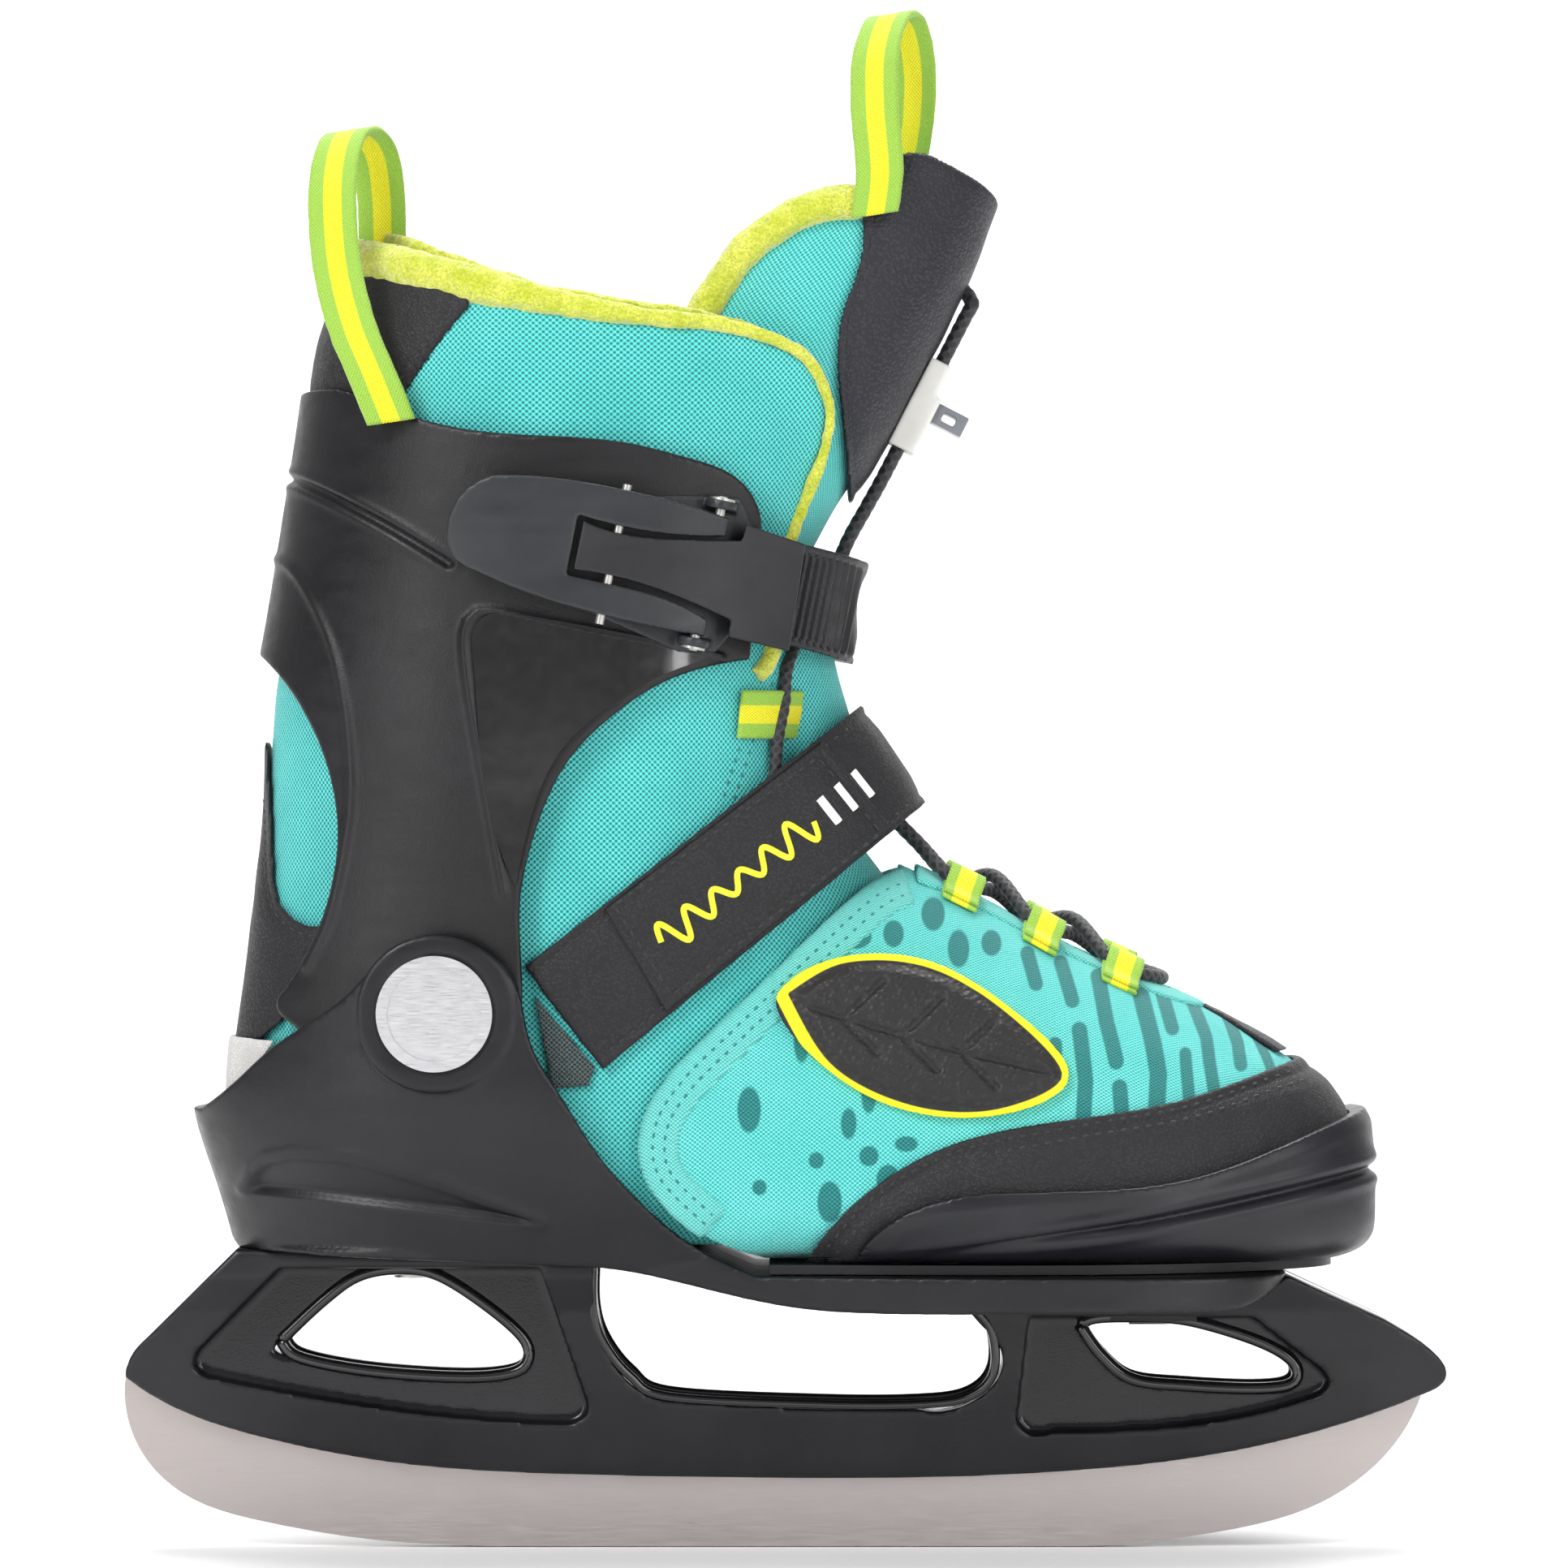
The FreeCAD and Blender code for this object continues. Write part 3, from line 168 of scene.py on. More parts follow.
def smooth_run(points, step):
    """Points along a smooth curve through the given ones, evenly spaced."""
    points = [Vector(p) for p in points]
    dense = []
    for i in range(len(points) - 1):
        before = points[max(i - 1, 0)]
        after = points[min(i + 2, len(points) - 1)]
        a, b = points[i], points[i + 1]
        for k in range(12):
            t = k / 12
            keep = 2 * t**3 - 3 * t**2 + 1
            dense.append(a * keep + b * (1 - keep) + (b - before) * 0.5 * (t**3 - 2 * t**2 + t)
                         + (after - a) * 0.5 * (t**3 - t**2))
    dense.append(points[-1])
    total = sum((b - a).length for a, b in zip(dense, dense[1:]))
    count = max(int(round(total / step)), 1)
    spacing = total / count
    run, walked, target = [dense[0]], 0.0, spacing
    for a, b in zip(dense, dense[1:]):
        length = (b - a).length
        while length and walked + length >= target - 1e-9 and len(run) < count:
            run.append(a.lerp(b, (target - walked) / length))
            target += spacing
        walked += length
    run.append(dense[-1])
    return run


def side_run(path, step):
    """Smooth side-view path, evenly spaced."""
    return [(p.x, p.z) for p in smooth_run([(x, 0.0, z) for x, z in path], step)]


# ---- mesh tools -----------------------------------------------------------
def link(name, mesh):
    obj = bpy.data.objects.new(name, mesh)
    bpy.context.scene.collection.objects.link(obj)
    return obj


def mesh_object(name, vertices, faces, smooth=True):
    """Object from vertices in millimetres."""
    mesh = bpy.data.meshes.new(name)
    mesh.from_pydata([Vector(v) * MM for v in vertices], [], faces)
    mesh.polygons.foreach_set("use_smooth", [smooth] * len(mesh.polygons))
    mesh.update()
    return link(name, mesh)


def apply_modifiers(obj):
    depsgraph = bpy.context.evaluated_depsgraph_get()
    depsgraph.update()
    mesh = bpy.data.meshes.new_from_object(obj.evaluated_get(depsgraph))
    obj.modifiers.clear()
    old = obj.data
    obj.data = mesh
    bpy.data.meshes.remove(old)


def coords(obj, what="co"):
    flat = np.empty(len(obj.data.vertices) * 3)
    obj.data.vertices.foreach_get(what, flat)
    return flat.reshape(-1, 3)


def normals(obj):
    return coords(obj, "normal")


def set_coords(obj, points):
    obj.data.vertices.foreach_set("co", points.reshape(-1))
    obj.data.update()


def rounded(obj, voxel, passes):
    """Even mesh over the object with soft edges."""
    remesh = obj.modifiers.new("remesh", "REMESH")
    remesh.mode = "VOXEL"
    remesh.voxel_size = voxel * MM
    remesh.use_smooth_shade = True
    soften = obj.modifiers.new("soften", "SMOOTH")
    soften.factor = 0.5
    soften.iterations = passes


def remeshed(obj, voxel, passes):
    """Makes the even, soft-edged mesh final, with no material yet."""
    rounded(obj, voxel, passes)
    apply_modifiers(obj)
    obj.data.materials.clear()
    return obj


def copy_of(node, name, voxel, passes):
    """Even, soft-edged copy of a CAD solid."""
    obj = link(name, NODES[node].data.copy())
    obj.data.materials.clear()
    return remeshed(obj, voxel, passes)


def dress(obj, look, body=None, *stands_for):
    """Gives a piece its material, the body it rides and the CAD nodes it replaces."""
    obj.data.materials.append(look)
    if stands_for:
        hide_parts(*stands_for)
    if body:
        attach(obj, body)
    return obj


def push(obj, amount):
    """Moves every vertex along its normal, amounts in millimetres."""
    points = coords(obj)
    set_coords(obj, points + normals(obj) * (np.asarray(amount) * MM)[:, None])


def path_distance(points, path):
    """Distance in millimetres from mesh points to a path in side view."""
    here = points[:, (0, 2)] / MM
    best = np.full(len(here), 1e9)
    for a, b in zip(path, path[1:]):
        a, b = np.array(a[:2], float), np.array(b[:2], float)
        along = b - a
        size = max(along @ along, 1e-9)
        share = np.clip(((here - a) @ along) / size, 0, 1)
        gap = here - (a + share[:, None] * along)
        best = np.minimum(best, np.hypot(gap[:, 0], gap[:, 1]))
    return best


def interpolate(value, table):
    """Straight-line value from (key, value) pairs, for one number or an array."""
    return np.interp(value, [row[0] for row in table], [row[1] for row in table])


def bell(distance, width):
    return np.exp(-((distance / width) ** 2))


def ramp_up(value, start, end):
    share = np.clip((value - start) / (end - start), 0, 1)
    return share * share * (3 - 2 * share)


def field(points, size, seed=0.0):
    """Smooth noise from -1 to 1 with features of that size in millimetres."""
    scale = 1 / (size * MM)
    shift = Vector((seed * 7.3, seed * 3.1, seed * 5.7))
    return np.array([noise.noise(Vector(p) * scale + shift) for p in points])


def store(obj, name, values):
    """Per-vertex number for a material."""
    layer = obj.data.attributes.new(name, "FLOAT", "POINT")
    layer.data.foreach_set("value", np.asarray(values, dtype=np.float32))


def store_flat(obj, along, up):
    """Cloth coordinates in metres, taken from the piece's own form."""
    layer = obj.data.attributes.new("flat", "FLOAT_VECTOR", "POINT")
    flat = np.zeros((len(along), 3), dtype=np.float32)
    flat[:, 0], flat[:, 1] = along, up
    layer.data.foreach_set("vector", flat.reshape(-1))


def shaft_flat(obj):
    """Cloth coordinates round the boot's shaft: along the side, then in at the ends."""
    p = coords(obj)
    away = (p[:, 0] / MM - WIDEST_X) / 30.0
    tuck = np.maximum(0.037 - np.abs(p[:, 1]), 0.0) * np.tanh(away)
    store_flat(obj, p[:, 0] + tuck, p[:, 2])


def foot_flat(obj):
    """Cloth coordinates on the toe box: up the side, then in over the top."""
    p = coords(obj)
    tuck = (0.038 - np.abs(p[:, 1])) * ramp_up(p[:, 2], 0.07, 0.084)
    store_flat(obj, p[:, 0], p[:, 2] + tuck)


def tongue_flat(obj):
    """Cloth coordinates on the tongue, which leans forward as it rises."""
    p = coords(obj)
    middle = (interpolate(p[:, 2] / MM, TONGUE) - TONGUE_REACH) * MM
    tuck = np.maximum(0.027 - np.abs(p[:, 1]), 0.0) * np.tanh((p[:, 0] - middle) / 0.02)
    store_flat(obj, p[:, 0] - 0.4 * p[:, 2] + tuck, p[:, 2])


def facing(obj, away):
    """How far each vertex's normal points along a level direction, -1 to 1."""
    away[:, 2] = 0
    size = np.maximum(np.linalg.norm(away, axis=1), 1e-9)
    return (normals(obj) * away).sum(axis=1) / size


def outward(obj):
    """How far each vertex's normal points away from the boot's middle, -1 to 1."""
    away = coords(obj)
    away[:, 0] = (away[:, 0] - WIDEST_X * MM) * 0.35
    return facing(obj, away)


def swell(obj, amount):
    """Pushes out the outer face only."""
    push(obj, amount * ramp_up(outward(obj), 0.0, 0.5))


def surface(*objs):
    """Ray target over several mesh objects, in millimetres."""
    vertices, faces = [], []
    for obj in objs:
        base = len(vertices)
        vertices += [Vector(v.co) / MM for v in obj.data.vertices]
        faces += [[base + i for i in p.vertices] for p in obj.data.polygons]
    return BVHTree.FromPolygons(vertices, faces)


def on_side(target, x, z, side):
    """Where a side-view point lies on the target, and its normal."""
    hit, normal, _, _ = target.ray_cast(Vector((x, side * 90.0, z)), Vector((0, -side, 0)))
    return hit, normal


def frame_at(forward, normal):
    forward = forward.normalized()
    across = normal.cross(forward).normalized()
    return Matrix((forward, across, forward.cross(across))).transposed()


STITCH_RINGS = ((-0.5, 0.45), (-0.36, 0.9), (0.0, 1.0), (0.36, 0.9), (0.5, 0.45))


def stitch(vertices, faces, centre, forward, normal, length, width):
    """One thread stitch: a small rounded bar that dips at both ends."""
    turn = frame_at(forward, normal)
    base = len(vertices)
    for along, size in STITCH_RINGS:
        for k in range(6):
            angle = 2 * math.pi * k / 6
            dip = -0.9 * (2 * along) ** 2 * width * 0.5
            spot = Vector((along * length, math.cos(angle) * size * width / 2,
                           math.sin(angle) * size * width * 0.4 + dip))
            vertices.append(centre + turn @ spot)
    rings = len(STITCH_RINGS)
    for r in range(rings - 1):
        for k in range(6):
            a, b = base + r * 6 + k, base + r * 6 + (k + 1) % 6
            faces.append((a, b, b + 6, a + 6))
    faces.append([base + k for k in reversed(range(6))])
    faces.append([base + (rings - 1) * 6 + k for k in range(6)])


def seam(name, body, target, paths, look, sides=(-1, 1), pitch=2.7, length=1.8, width=0.6):
    """Rows of thread stitches on a target along paths in side view."""
    vertices, faces = [], []
    for path in paths:
        spots = smooth_run([(x, 0.0, z) for x, z in path], pitch)
        for side in sides:
            for a, b in zip(spots, spots[1:]):
                first, normal = on_side(target, a.x, a.z, side)
                second, _ = on_side(target, b.x, b.z, side)
                if first is None or second is None or (second - first).length > 2.2 * pitch:
                    continue
                if normal.y * side < 0:
                    normal = -normal
                centre = (first + second) / 2 + normal * 0.06
                stitch(vertices, faces, centre, second - first, normal, length, width)
    return dress(mesh_object(name, vertices, faces), look, body)


def loft(name, rings):
    """Closed skin over rings of points, each ring a closed loop."""
    vertices, faces = [], []
    size = len(rings[0])
    for ring in rings:
        vertices += ring
    for r in range(len(rings) - 1):
        for k in range(size):
            a, b = r * size + k, r * size + (k + 1) % size
            faces.append((a, b, b + size, a + size))
    faces.append(list(reversed(range(size))))
    faces.append([(len(rings) - 1) * size + k for k in range(size)])
    return mesh_object(name, vertices, faces)


def frames_along(points, up=Vector((0, 0, 1))):
    """Twist-free frames (forward, side, up) along a path."""
    frames = []
    for i in range(len(points)):
        forward = (points[min(i + 1, len(points) - 1)] - points[max(i - 1, 0)]).normalized()
        side = up.cross(forward)
        if side.length < 1e-3:
            side = frames[-1][1] if frames else Vector((0, 1, 0)).cross(forward)
        side.normalize()
        up = forward.cross(side).normalized()
        frames.append((forward, side, up))
    return frames


def round_ring(spot, side, up, radius, sides, flatten=1.0):
    turns = [2 * math.pi * k / sides for k in range(sides)]
    return [spot + side * (math.cos(a) * radius * flatten) + up * (math.sin(a) * radius) for a in turns]


CORD_SIDES = 20


def braided_cord(name, route, radius, step=0.35):
    """Braided cord: a tube whose strands cross in relief."""
    spots = smooth_run(route, step)
    rings, mark = [], []
    for i, (spot, (_, side, up)) in enumerate(zip(spots, frames_along(spots))):
        ring = []
        for k in range(CORD_SIDES):
            angle = 2 * math.pi * k / CORD_SIDES
            left = math.sin(4 * angle + 2 * math.pi * i * step / 2.4)
            right = math.sin(4 * angle - 2 * math.pi * i * step / 2.4)
            relief = max(left, right)
            size = radius * (0.9 + 0.1 * relief)
            ring.append(spot + side * (math.cos(angle) * size) + up * (math.sin(angle) * size))
            mark.append(relief)
        rings.append(ring)
    obj = loft(name, rings)
    store(obj, "strand", mark)
    return obj


def band(name, spots, side_dirs, width, thick, edge=0.35):
    """Flat webbing along spots; side_dirs point across it."""
    profile = []
    half, rise = width / 2, thick / 2
    steps = 14
    for k in range(steps + 1):
        profile.append((-half + edge + (width - 2 * edge) * k / steps, rise))
    profile += [(half, 0.0)]
    for k in range(steps + 1):
        profile.append((half - edge - (width - 2 * edge) * k / steps, -rise))
    profile += [(-half, 0.0)]
    rings, across, along, walked = [], [], [], 0.0
    for i, (spot, side) in enumerate(zip(spots, side_dirs)):
        ahead = spots[min(i + 1, len(spots) - 1)] - spots[max(i - 1, 0)]
        side = side.normalized()
        up = ahead.normalized().cross(side).normalized()
        if i:
            walked += (spot - spots[i - 1]).length
        rings.append([spot + side * a + up * b for a, b in profile])
        across += [a * MM for a, _ in profile]
        along += [walked * MM] * len(profile)
    obj = loft(name, rings)
    store(obj, "across", across)
    store_flat(obj, np.array(along), np.array(across))
    return obj


# ---- materials ------------------------------------------------------------
def tone(red, green, blue):
    """Linear colour from screen values of 0 to 255."""
    def straight(value):
        value /= 255
        return value / 12.92 if value <= 0.04045 else ((value + 0.055) / 1.055) ** 2.4
    return (straight(red), straight(green), straight(blue), 1.0)


def lighter(colour, gain, lift=0.0):
    return tuple(min(c * gain + lift, 1) for c in colour[:3]) + (1.0,)


class Look:
    """A node-built material and short ways to add to it."""

    def __init__(self, name, colour, rough, metal=0.0, **sockets):
        self.mat = bpy.data.materials.new(name)
        self.mat.use_nodes = True
        self.tree = self.mat.node_tree
        self.bsdf = self.tree.nodes["Principled BSDF"]
        self.bsdf.inputs["Base Color"].default_value = colour
        self.bsdf.inputs["Roughness"].default_value = rough
        self.bsdf.inputs["Metallic"].default_value = metal
        for socket, value in sockets.items():
            self.bsdf.inputs[socket.replace("_", " ")].default_value = value
        self.place = self.node("ShaderNodeTexCoord").outputs["Object"]
        self.height = None

    def node(self, kind, settings=None, **inputs):
        made = self.tree.nodes.new(kind)
        for key, value in (settings or {}).items():
            setattr(made, key, value)
        for key, value in inputs.items():
            self.feed(made.inputs[key.replace("_", " ")], value)
        return made

    def feed(self, socket, value):
        if isinstance(value, bpy.types.NodeSocket):
            self.tree.links.new(value, socket)
        else:
            socket.default_value = value

    def math(self, operation, first, second=0.0):
        made = self.node("ShaderNodeMath", {"operation": operation})
        self.feed(made.inputs[0], first)
        self.feed(made.inputs[1], second)
        return made.outputs[0]

    def stretch(self, scale, vector=None):
        mapping = self.node("ShaderNodeMapping", Scale=scale)
        self.feed(mapping.inputs["Vector"], vector or self.place)
        return mapping.outputs[0]

    def noise(self, size, detail=2.0, vector=None, rough=0.5):
        """Noise whose features are about size millimetres."""
        made = self.node("ShaderNodeTexNoise", Scale=1 / (size * MM), Detail=detail, Roughness=rough)
        self.feed(made.inputs["Vector"], vector or self.place)
        return made.outputs["Fac"]

    def cells(self, size, vector=None):
        made = self.node("ShaderNodeTexVoronoi", Scale=1 / (size * MM))
        self.feed(made.inputs["Vector"], vector or self.place)
        return made.outputs["Distance"]

    def split(self, vector):
        made = self.node("ShaderNodeSeparateXYZ")
        self.feed(made.inputs[0], vector)
        return made.outputs

    def attribute(self, name):
        return self.node("ShaderNodeAttribute", {"attribute_name": name})

    def level(self, value, low, high, out_low=0.0, out_high=1.0):
        made = self.node("ShaderNodeMapRange", Value=value, From_Min=low, From_Max=high,
                         To_Min=out_low, To_Max=out_high)
        return made.outputs[0]

    def mix(self, share, first, second):
        made = self.node("ShaderNodeMix", {"data_type": "RGBA"})
        self.feed(made.inputs[0], share)
        self.feed(made.inputs[6], first)
        self.feed(made.inputs[7], second)
        return made.outputs[2]

    def paint(self, colour):
        self.feed(self.bsdf.inputs["Base Color"], colour)

    def roughen(self, value):
        self.feed(self.bsdf.inputs["Roughness"], value)

    def bump(self, height, distance):
        """Relief of that depth in millimetres, added to any before it."""
        made = self.node("ShaderNodeBump", Strength=1.0, Distance=distance * MM)
        self.feed(made.inputs["Height"], height)
        if self.height is not None:
            self.feed(made.inputs["Normal"], self.height)
        self.height = made.outputs[0]
        self.feed(self.bsdf.inputs["Normal"], self.height)


def lattice(look, vector, pitch_a, pitch_b):
    """Rows of offset openings, as in spacer mesh: 0 in an opening, 1 on the yarn."""
    split = look.split(vector)
    a = look.math("MULTIPLY", split[0], 2 * math.pi / (pitch_a * MM))
    b = look.math("MULTIPLY", split[1], 2 * math.pi / (pitch_b * MM))
    product = look.math("MULTIPLY", look.math("COSINE", a), look.math("COSINE", b))
    return look.level(product, -0.2, 0.75, 1.0, 0.0)


def moulded(name, colour, rough, grain=0.4, depth=0.03, wear_and_sheen=0.04):
    """Injection-moulded plastic with a fine texture and light handling marks."""
    look = Look(name, colour, rough, Specular_IOR_Level=0.36)
    broad = look.noise(22, 3)
    look.paint(look.mix(look.level(broad, 0.35, 0.75), colour, lighter(colour, 1.5, wear_and_sheen * 0.1)))
    speck = look.noise(grain, 2)
    smear = look.noise(6, 4, look.stretch((0.3, 1, 1.6)))
    look.roughen(look.level(smear, 0.3, 0.7, rough - 0.07, rough + 0.08))
    look.bump(speck, depth)
    return look


def polished(name, colour, rough):
    """Gloss plastic with faint waviness."""
    look = Look(name, colour, rough, Coat_Weight=0.5, Coat_Roughness=0.06)
    look.bump(look.noise(9, 1), 0.12)
    look.roughen(look.level(look.noise(3, 4), 0.3, 0.75, rough, rough + 0.12))
    broad = look.noise(14, 2)
    look.paint(look.mix(broad, colour, lighter(colour, 1.6)))
    return look


def leather(name, colour, grain=0.9, rough=0.46, depth=0.12):
    """Synthetic leather: pebbled grain, sheen on the high spots (lower roughness and a painted highlight), soft
    creases.
    """
    look = Look(name, colour, rough, Sheen_Weight=0.06, Sheen_Roughness=0.4, Specular_IOR_Level=0.36)
    pebble = look.cells(grain, look.stretch((1, 1, 1.15)))
    fine = look.noise(grain * 0.35, 3)
    crease = look.noise(9, 4, rough=0.6)
    top = look.level(pebble, 0.15, 0.6, 1.0, 0.0)
    # painted sheen: the grain's high spots are coloured lighter, most where the crease noise is high
    wear_and_sheen = look.math("MULTIPLY", top, look.level(crease, 0.3, 0.7))
    look.paint(look.mix(wear_and_sheen, colour, lighter(colour, 1.7, 0.004)))
    look.roughen(look.level(top, 0.0, 1.0, rough + 0.14, rough - 0.06))
    look.bump(crease, 0.25)
    look.bump(top, depth)
    look.bump(fine, depth * 0.3)
    return look


def knit(name, yarn, gap, shade, pitch=1.15, marks=None):
    """Spacer-mesh fabric: rows of small openings in a shiny yarn, with painted glints along its strands.

    marks is (attribute, yarn colour, gap colour) for where the attribute is below 0.
    """
    look = Look(name, yarn, 0.72, Sheen_Weight=0.15, Sheen_Roughness=0.45)
    flat = look.attribute("flat").outputs["Vector"]
    weave = lattice(look, flat, pitch * 1.15, pitch)
    strand = look.noise(0.35, 2, look.stretch((1, 2.6, 1), flat))
    broad = look.noise(17, 3)
    lit = look.mix(look.level(broad, 0.3, 0.7), yarn, shade)
    # painted highlight: near-white streaks along the strands stand in for glints on the shiny yarn
    twist_and_glint = look.mix(look.level(strand, 0.35, 0.7, 0.0, 0.22), lit, tone(205, 250, 246))
    if marks:
        inside = look.level(look.attribute(marks[0]).outputs["Fac"], -0.2, 0.2, 1.0, 0.0)
        twist_and_glint = look.mix(inside, twist_and_glint, marks[1])
        gap = look.mix(inside, gap, marks[2])
    look.paint(look.mix(weave, gap, twist_and_glint))
    look.roughen(look.level(strand, 0.2, 0.8, 0.62, 0.86))
    look.bump(weave, 0.28)
    look.bump(strand, 0.06)
    return look.mat


def fleece(name):
    """Brushed lime fleece: clumped fibres with a strong sheen."""
    look = Look(name, tone(222, 220, 78), 0.9, Sheen_Weight=0.9, Sheen_Roughness=0.35)
    clump = look.cells(1.6)
    fuzz = look.noise(0.5, 4, rough=0.7)
    tint = look.mix(look.level(look.noise(5, 3), 0.3, 0.7), tone(196, 205, 48), tone(240, 236, 108))
    look.paint(look.mix(look.level(fuzz, 0.3, 0.65), tone(150, 165, 30), tint))
    look.bump(clump, 0.5)
    look.bump(fuzz, 0.35)
    return look.mat


def webbing(name):
    """Woven tape, green at both edges and yellow in the middle."""
    look = Look(name, tone(150, 195, 60), 0.62, Sheen_Weight=0.25, Sheen_Roughness=0.4)
    across = look.math("ABSOLUTE", look.attribute("across").outputs["Fac"])
    middle = look.level(across, 1.75 * MM, 2.0 * MM, 1.0, 0.0)
    colour = look.mix(middle, tone(146, 192, 66), tone(236, 226, 18))
    flat = look.attribute("flat").outputs["Vector"]
    split = look.split(flat)
    pick = look.math("SINE", look.math("MULTIPLY", split[0], 2 * math.pi / (0.8 * MM)))
    end = look.math("SINE", look.math("MULTIPLY", split[1], 2 * math.pi / (0.62 * MM)))
    weave = look.level(look.math("MULTIPLY", pick, end), -1.0, 1.0)
    fuzz = look.noise(0.3, 3)
    dark = look.mix(look.level(fuzz, 0.3, 0.7), tone(92, 128, 34), tone(160, 160, 20))
    look.paint(look.mix(look.level(weave, 0.1, 0.55, 0.45, 1.0), dark, colour))
    look.bump(weave, 0.16)
    look.bump(fuzz, 0.05)
    return look.mat


def brushed(name, colour, rough, grain):
    """Metal with fine parallel scratches; grain stretches them along one axis."""
    look = Look(name, colour, rough, 1.0)
    scratch = look.noise(0.22, 3, look.stretch(grain))
    smear = look.noise(12, 3, look.stretch((0.4, 1, 1)))
    look.paint(look.mix(scratch, lighter(colour, 0.82), colour))
    look.roughen(look.math("ADD", look.level(scratch, 0.3, 0.7, rough - 0.08, rough + 0.12),
                           look.level(smear, 0.35, 0.75, 0.0, 0.08)))
    look.bump(scratch, 0.012)
    return look.mat


def braid(name, colour, light):
    look = Look(name, colour, 0.6, Sheen_Weight=0.3, Sheen_Roughness=0.4)
    strand = look.attribute("strand").outputs["Fac"]
    fibre = look.noise(0.25, 3)
    # painted highlight: the braid's raised strands are coloured towards the light colour
    look.paint(look.mix(look.math("MULTIPLY", look.level(strand, 0.2, 1.0), fibre), colour, light))
    look.bump(fibre, 0.06)
    return look.mat


def thread(name, colour):
    look = Look(name, colour, 0.55, Sheen_Weight=0.2)
    twist_and_glint = look.noise(0.25, 2, look.stretch((1, 1, 2)))
    look.paint(look.mix(twist_and_glint, colour, lighter(colour, 2.2, 0.004)))
    look.bump(twist_and_glint, 0.05)
    return look.mat


def holder_look():
    """Satin outside, polished in the recesses near the blade's plane."""
    look = moulded("holder_plastic", BLACK, 0.36, 0.35, 0.02)
    satin = look.bsdf.inputs["Roughness"].links[0].from_socket
    split = look.split(look.place)
    off = look.math("ABSOLUTE", split[1])
    inside = look.level(off, 5.1 * MM, 5.4 * MM, 1.0, 0.0)
    upper = look.level(split[2], 20 * MM, 23 * MM)
    polish = look.math("MULTIPLY", inside, upper)
    look.roughen(look.math("MULTIPLY", satin, look.level(polish, 0.0, 1.0, 1.0, 0.28)))
    return look.mat


BLACK = tone(13, 13, 17)
STEEL = brushed("blade_steel", tone(186, 178, 176), 0.34, (0.03, 1, 1))
ZINC = brushed("zinc_plated", tone(188, 186, 182), 0.34, (1, 1, 0.1))
DISC = brushed("disc_metal", tone(214, 213, 216), 0.3, (0.06, 1, 1))
HOLDER = holder_look()
SHELL = moulded("shell_plastic", BLACK, 0.4, 0.4, 0.03, 0.02).mat
CUFF = moulded("cuff_plastic", tone(14, 13, 16), 0.4, 0.45, 0.05, 0.02).mat
CAP = moulded("cap_plastic", tone(20, 20, 25), 0.36, 0.5, 0.03, 0.02).mat
LEVER = moulded("lever_plastic", tone(34, 35, 38), 0.38, 0.3, 0.015).mat
RUBBER = moulded("strap_plastic", tone(26, 26, 29), 0.45, 0.35, 0.03).mat
GLOSS = polished("gloss_plastic", tone(12, 12, 14), 0.12).mat
LEATHER = leather("black_leather", tone(22, 21, 24), 0.7, 0.5, 0.07).mat
PEBBLE = leather("pebbled_leather", tone(27, 27, 34), 0.9, 0.44, 0.1).mat
PALE = moulded("pale_plastic", tone(206, 205, 200), 0.4, 0.4, 0.02).mat
SMOKE = moulded("smoke_plastic", tone(110, 112, 118), 0.3, 0.5, 0.02).mat
FELT = leather("pale_felt", tone(186, 184, 182), 0.6, 0.8, 0.12).mat
TURQUOISE = knit("turquoise_mesh", tone(30, 190, 185), tone(4, 118, 118), tone(66, 210, 205), 1.2,
                 ("lining", tone(30, 30, 33), tone(12, 12, 14)))
AQUA = knit("aqua_mesh", tone(60, 206, 200), tone(12, 140, 138), tone(88, 218, 212), 1.0)
PRINTED = knit("printed_knit", tone(72, 208, 202), tone(22, 160, 156), tone(98, 220, 214), 0.9,
               ("mark", tone(16, 134, 132), tone(4, 92, 92)))
BINDING = knit("binding_tape", tone(92, 208, 200), tone(60, 176, 170), tone(104, 208, 200), 0.8)
LINING = knit("black_lining", tone(18, 18, 20), tone(6, 6, 7), tone(24, 24, 26), 1.0)
FLEECE = fleece("lime_fleece")
WEBBING = webbing("striped_webbing")
CORD = braid("black_braid", tone(18, 18, 20), tone(74, 74, 78))
LIME_PRINT = moulded("lime_print", tone(214, 222, 40), 0.5, 0.4, 0.02).mat
WHITE_PRINT = moulded("white_print", tone(226, 226, 224), 0.5, 0.4, 0.02).mat
THREAD = thread("black_thread", tone(12, 12, 13))
TEAL_THREAD = thread("teal_thread", tone(14, 92, 92))


# ---- hard parts -----------------------------------------------------------
def finish_node(node, look, voxel=None, passes=4):
    """Gives a CAD node its material and, with a voxel size, moulded edges."""
    obj = NODES[node]
    obj.data.materials.clear()
    obj.data.materials.append(look)
    if voxel:
        rounded(obj, voxel, passes)


# node, material, remesh size and smoothing passes where its edges are softened
HARD_PARTS = (
    ("blade", STEEL),
    ("blade_holder", HOLDER, 0.6, 4),
    ("mounting_bolts", ZINC),
    ("size_button", SHELL),
    ("pivot_bolts", ZINC),
    ("pivot_caps", DISC),
    ("cuff_inset", GLOSS),
    ("buckle_base", LEVER, 0.35, 4),
    ("buckle_lever", LEVER, 0.35, 7),
    ("buckle_catch", RUBBER, 0.3, 4),
    ("lever_pins", ZINC),
    ("lever_washers", ZINC),
    ("catch_pin", ZINC),
    ("strap_rivet", ZINC),
    ("toe_sole", SHELL),
    ("lace_lock", PALE, 0.3, 14),
    ("lock_button", SMOKE, 0.25, 6),
)


def hard_parts():
    for part in HARD_PARTS:
        finish_node(*part)


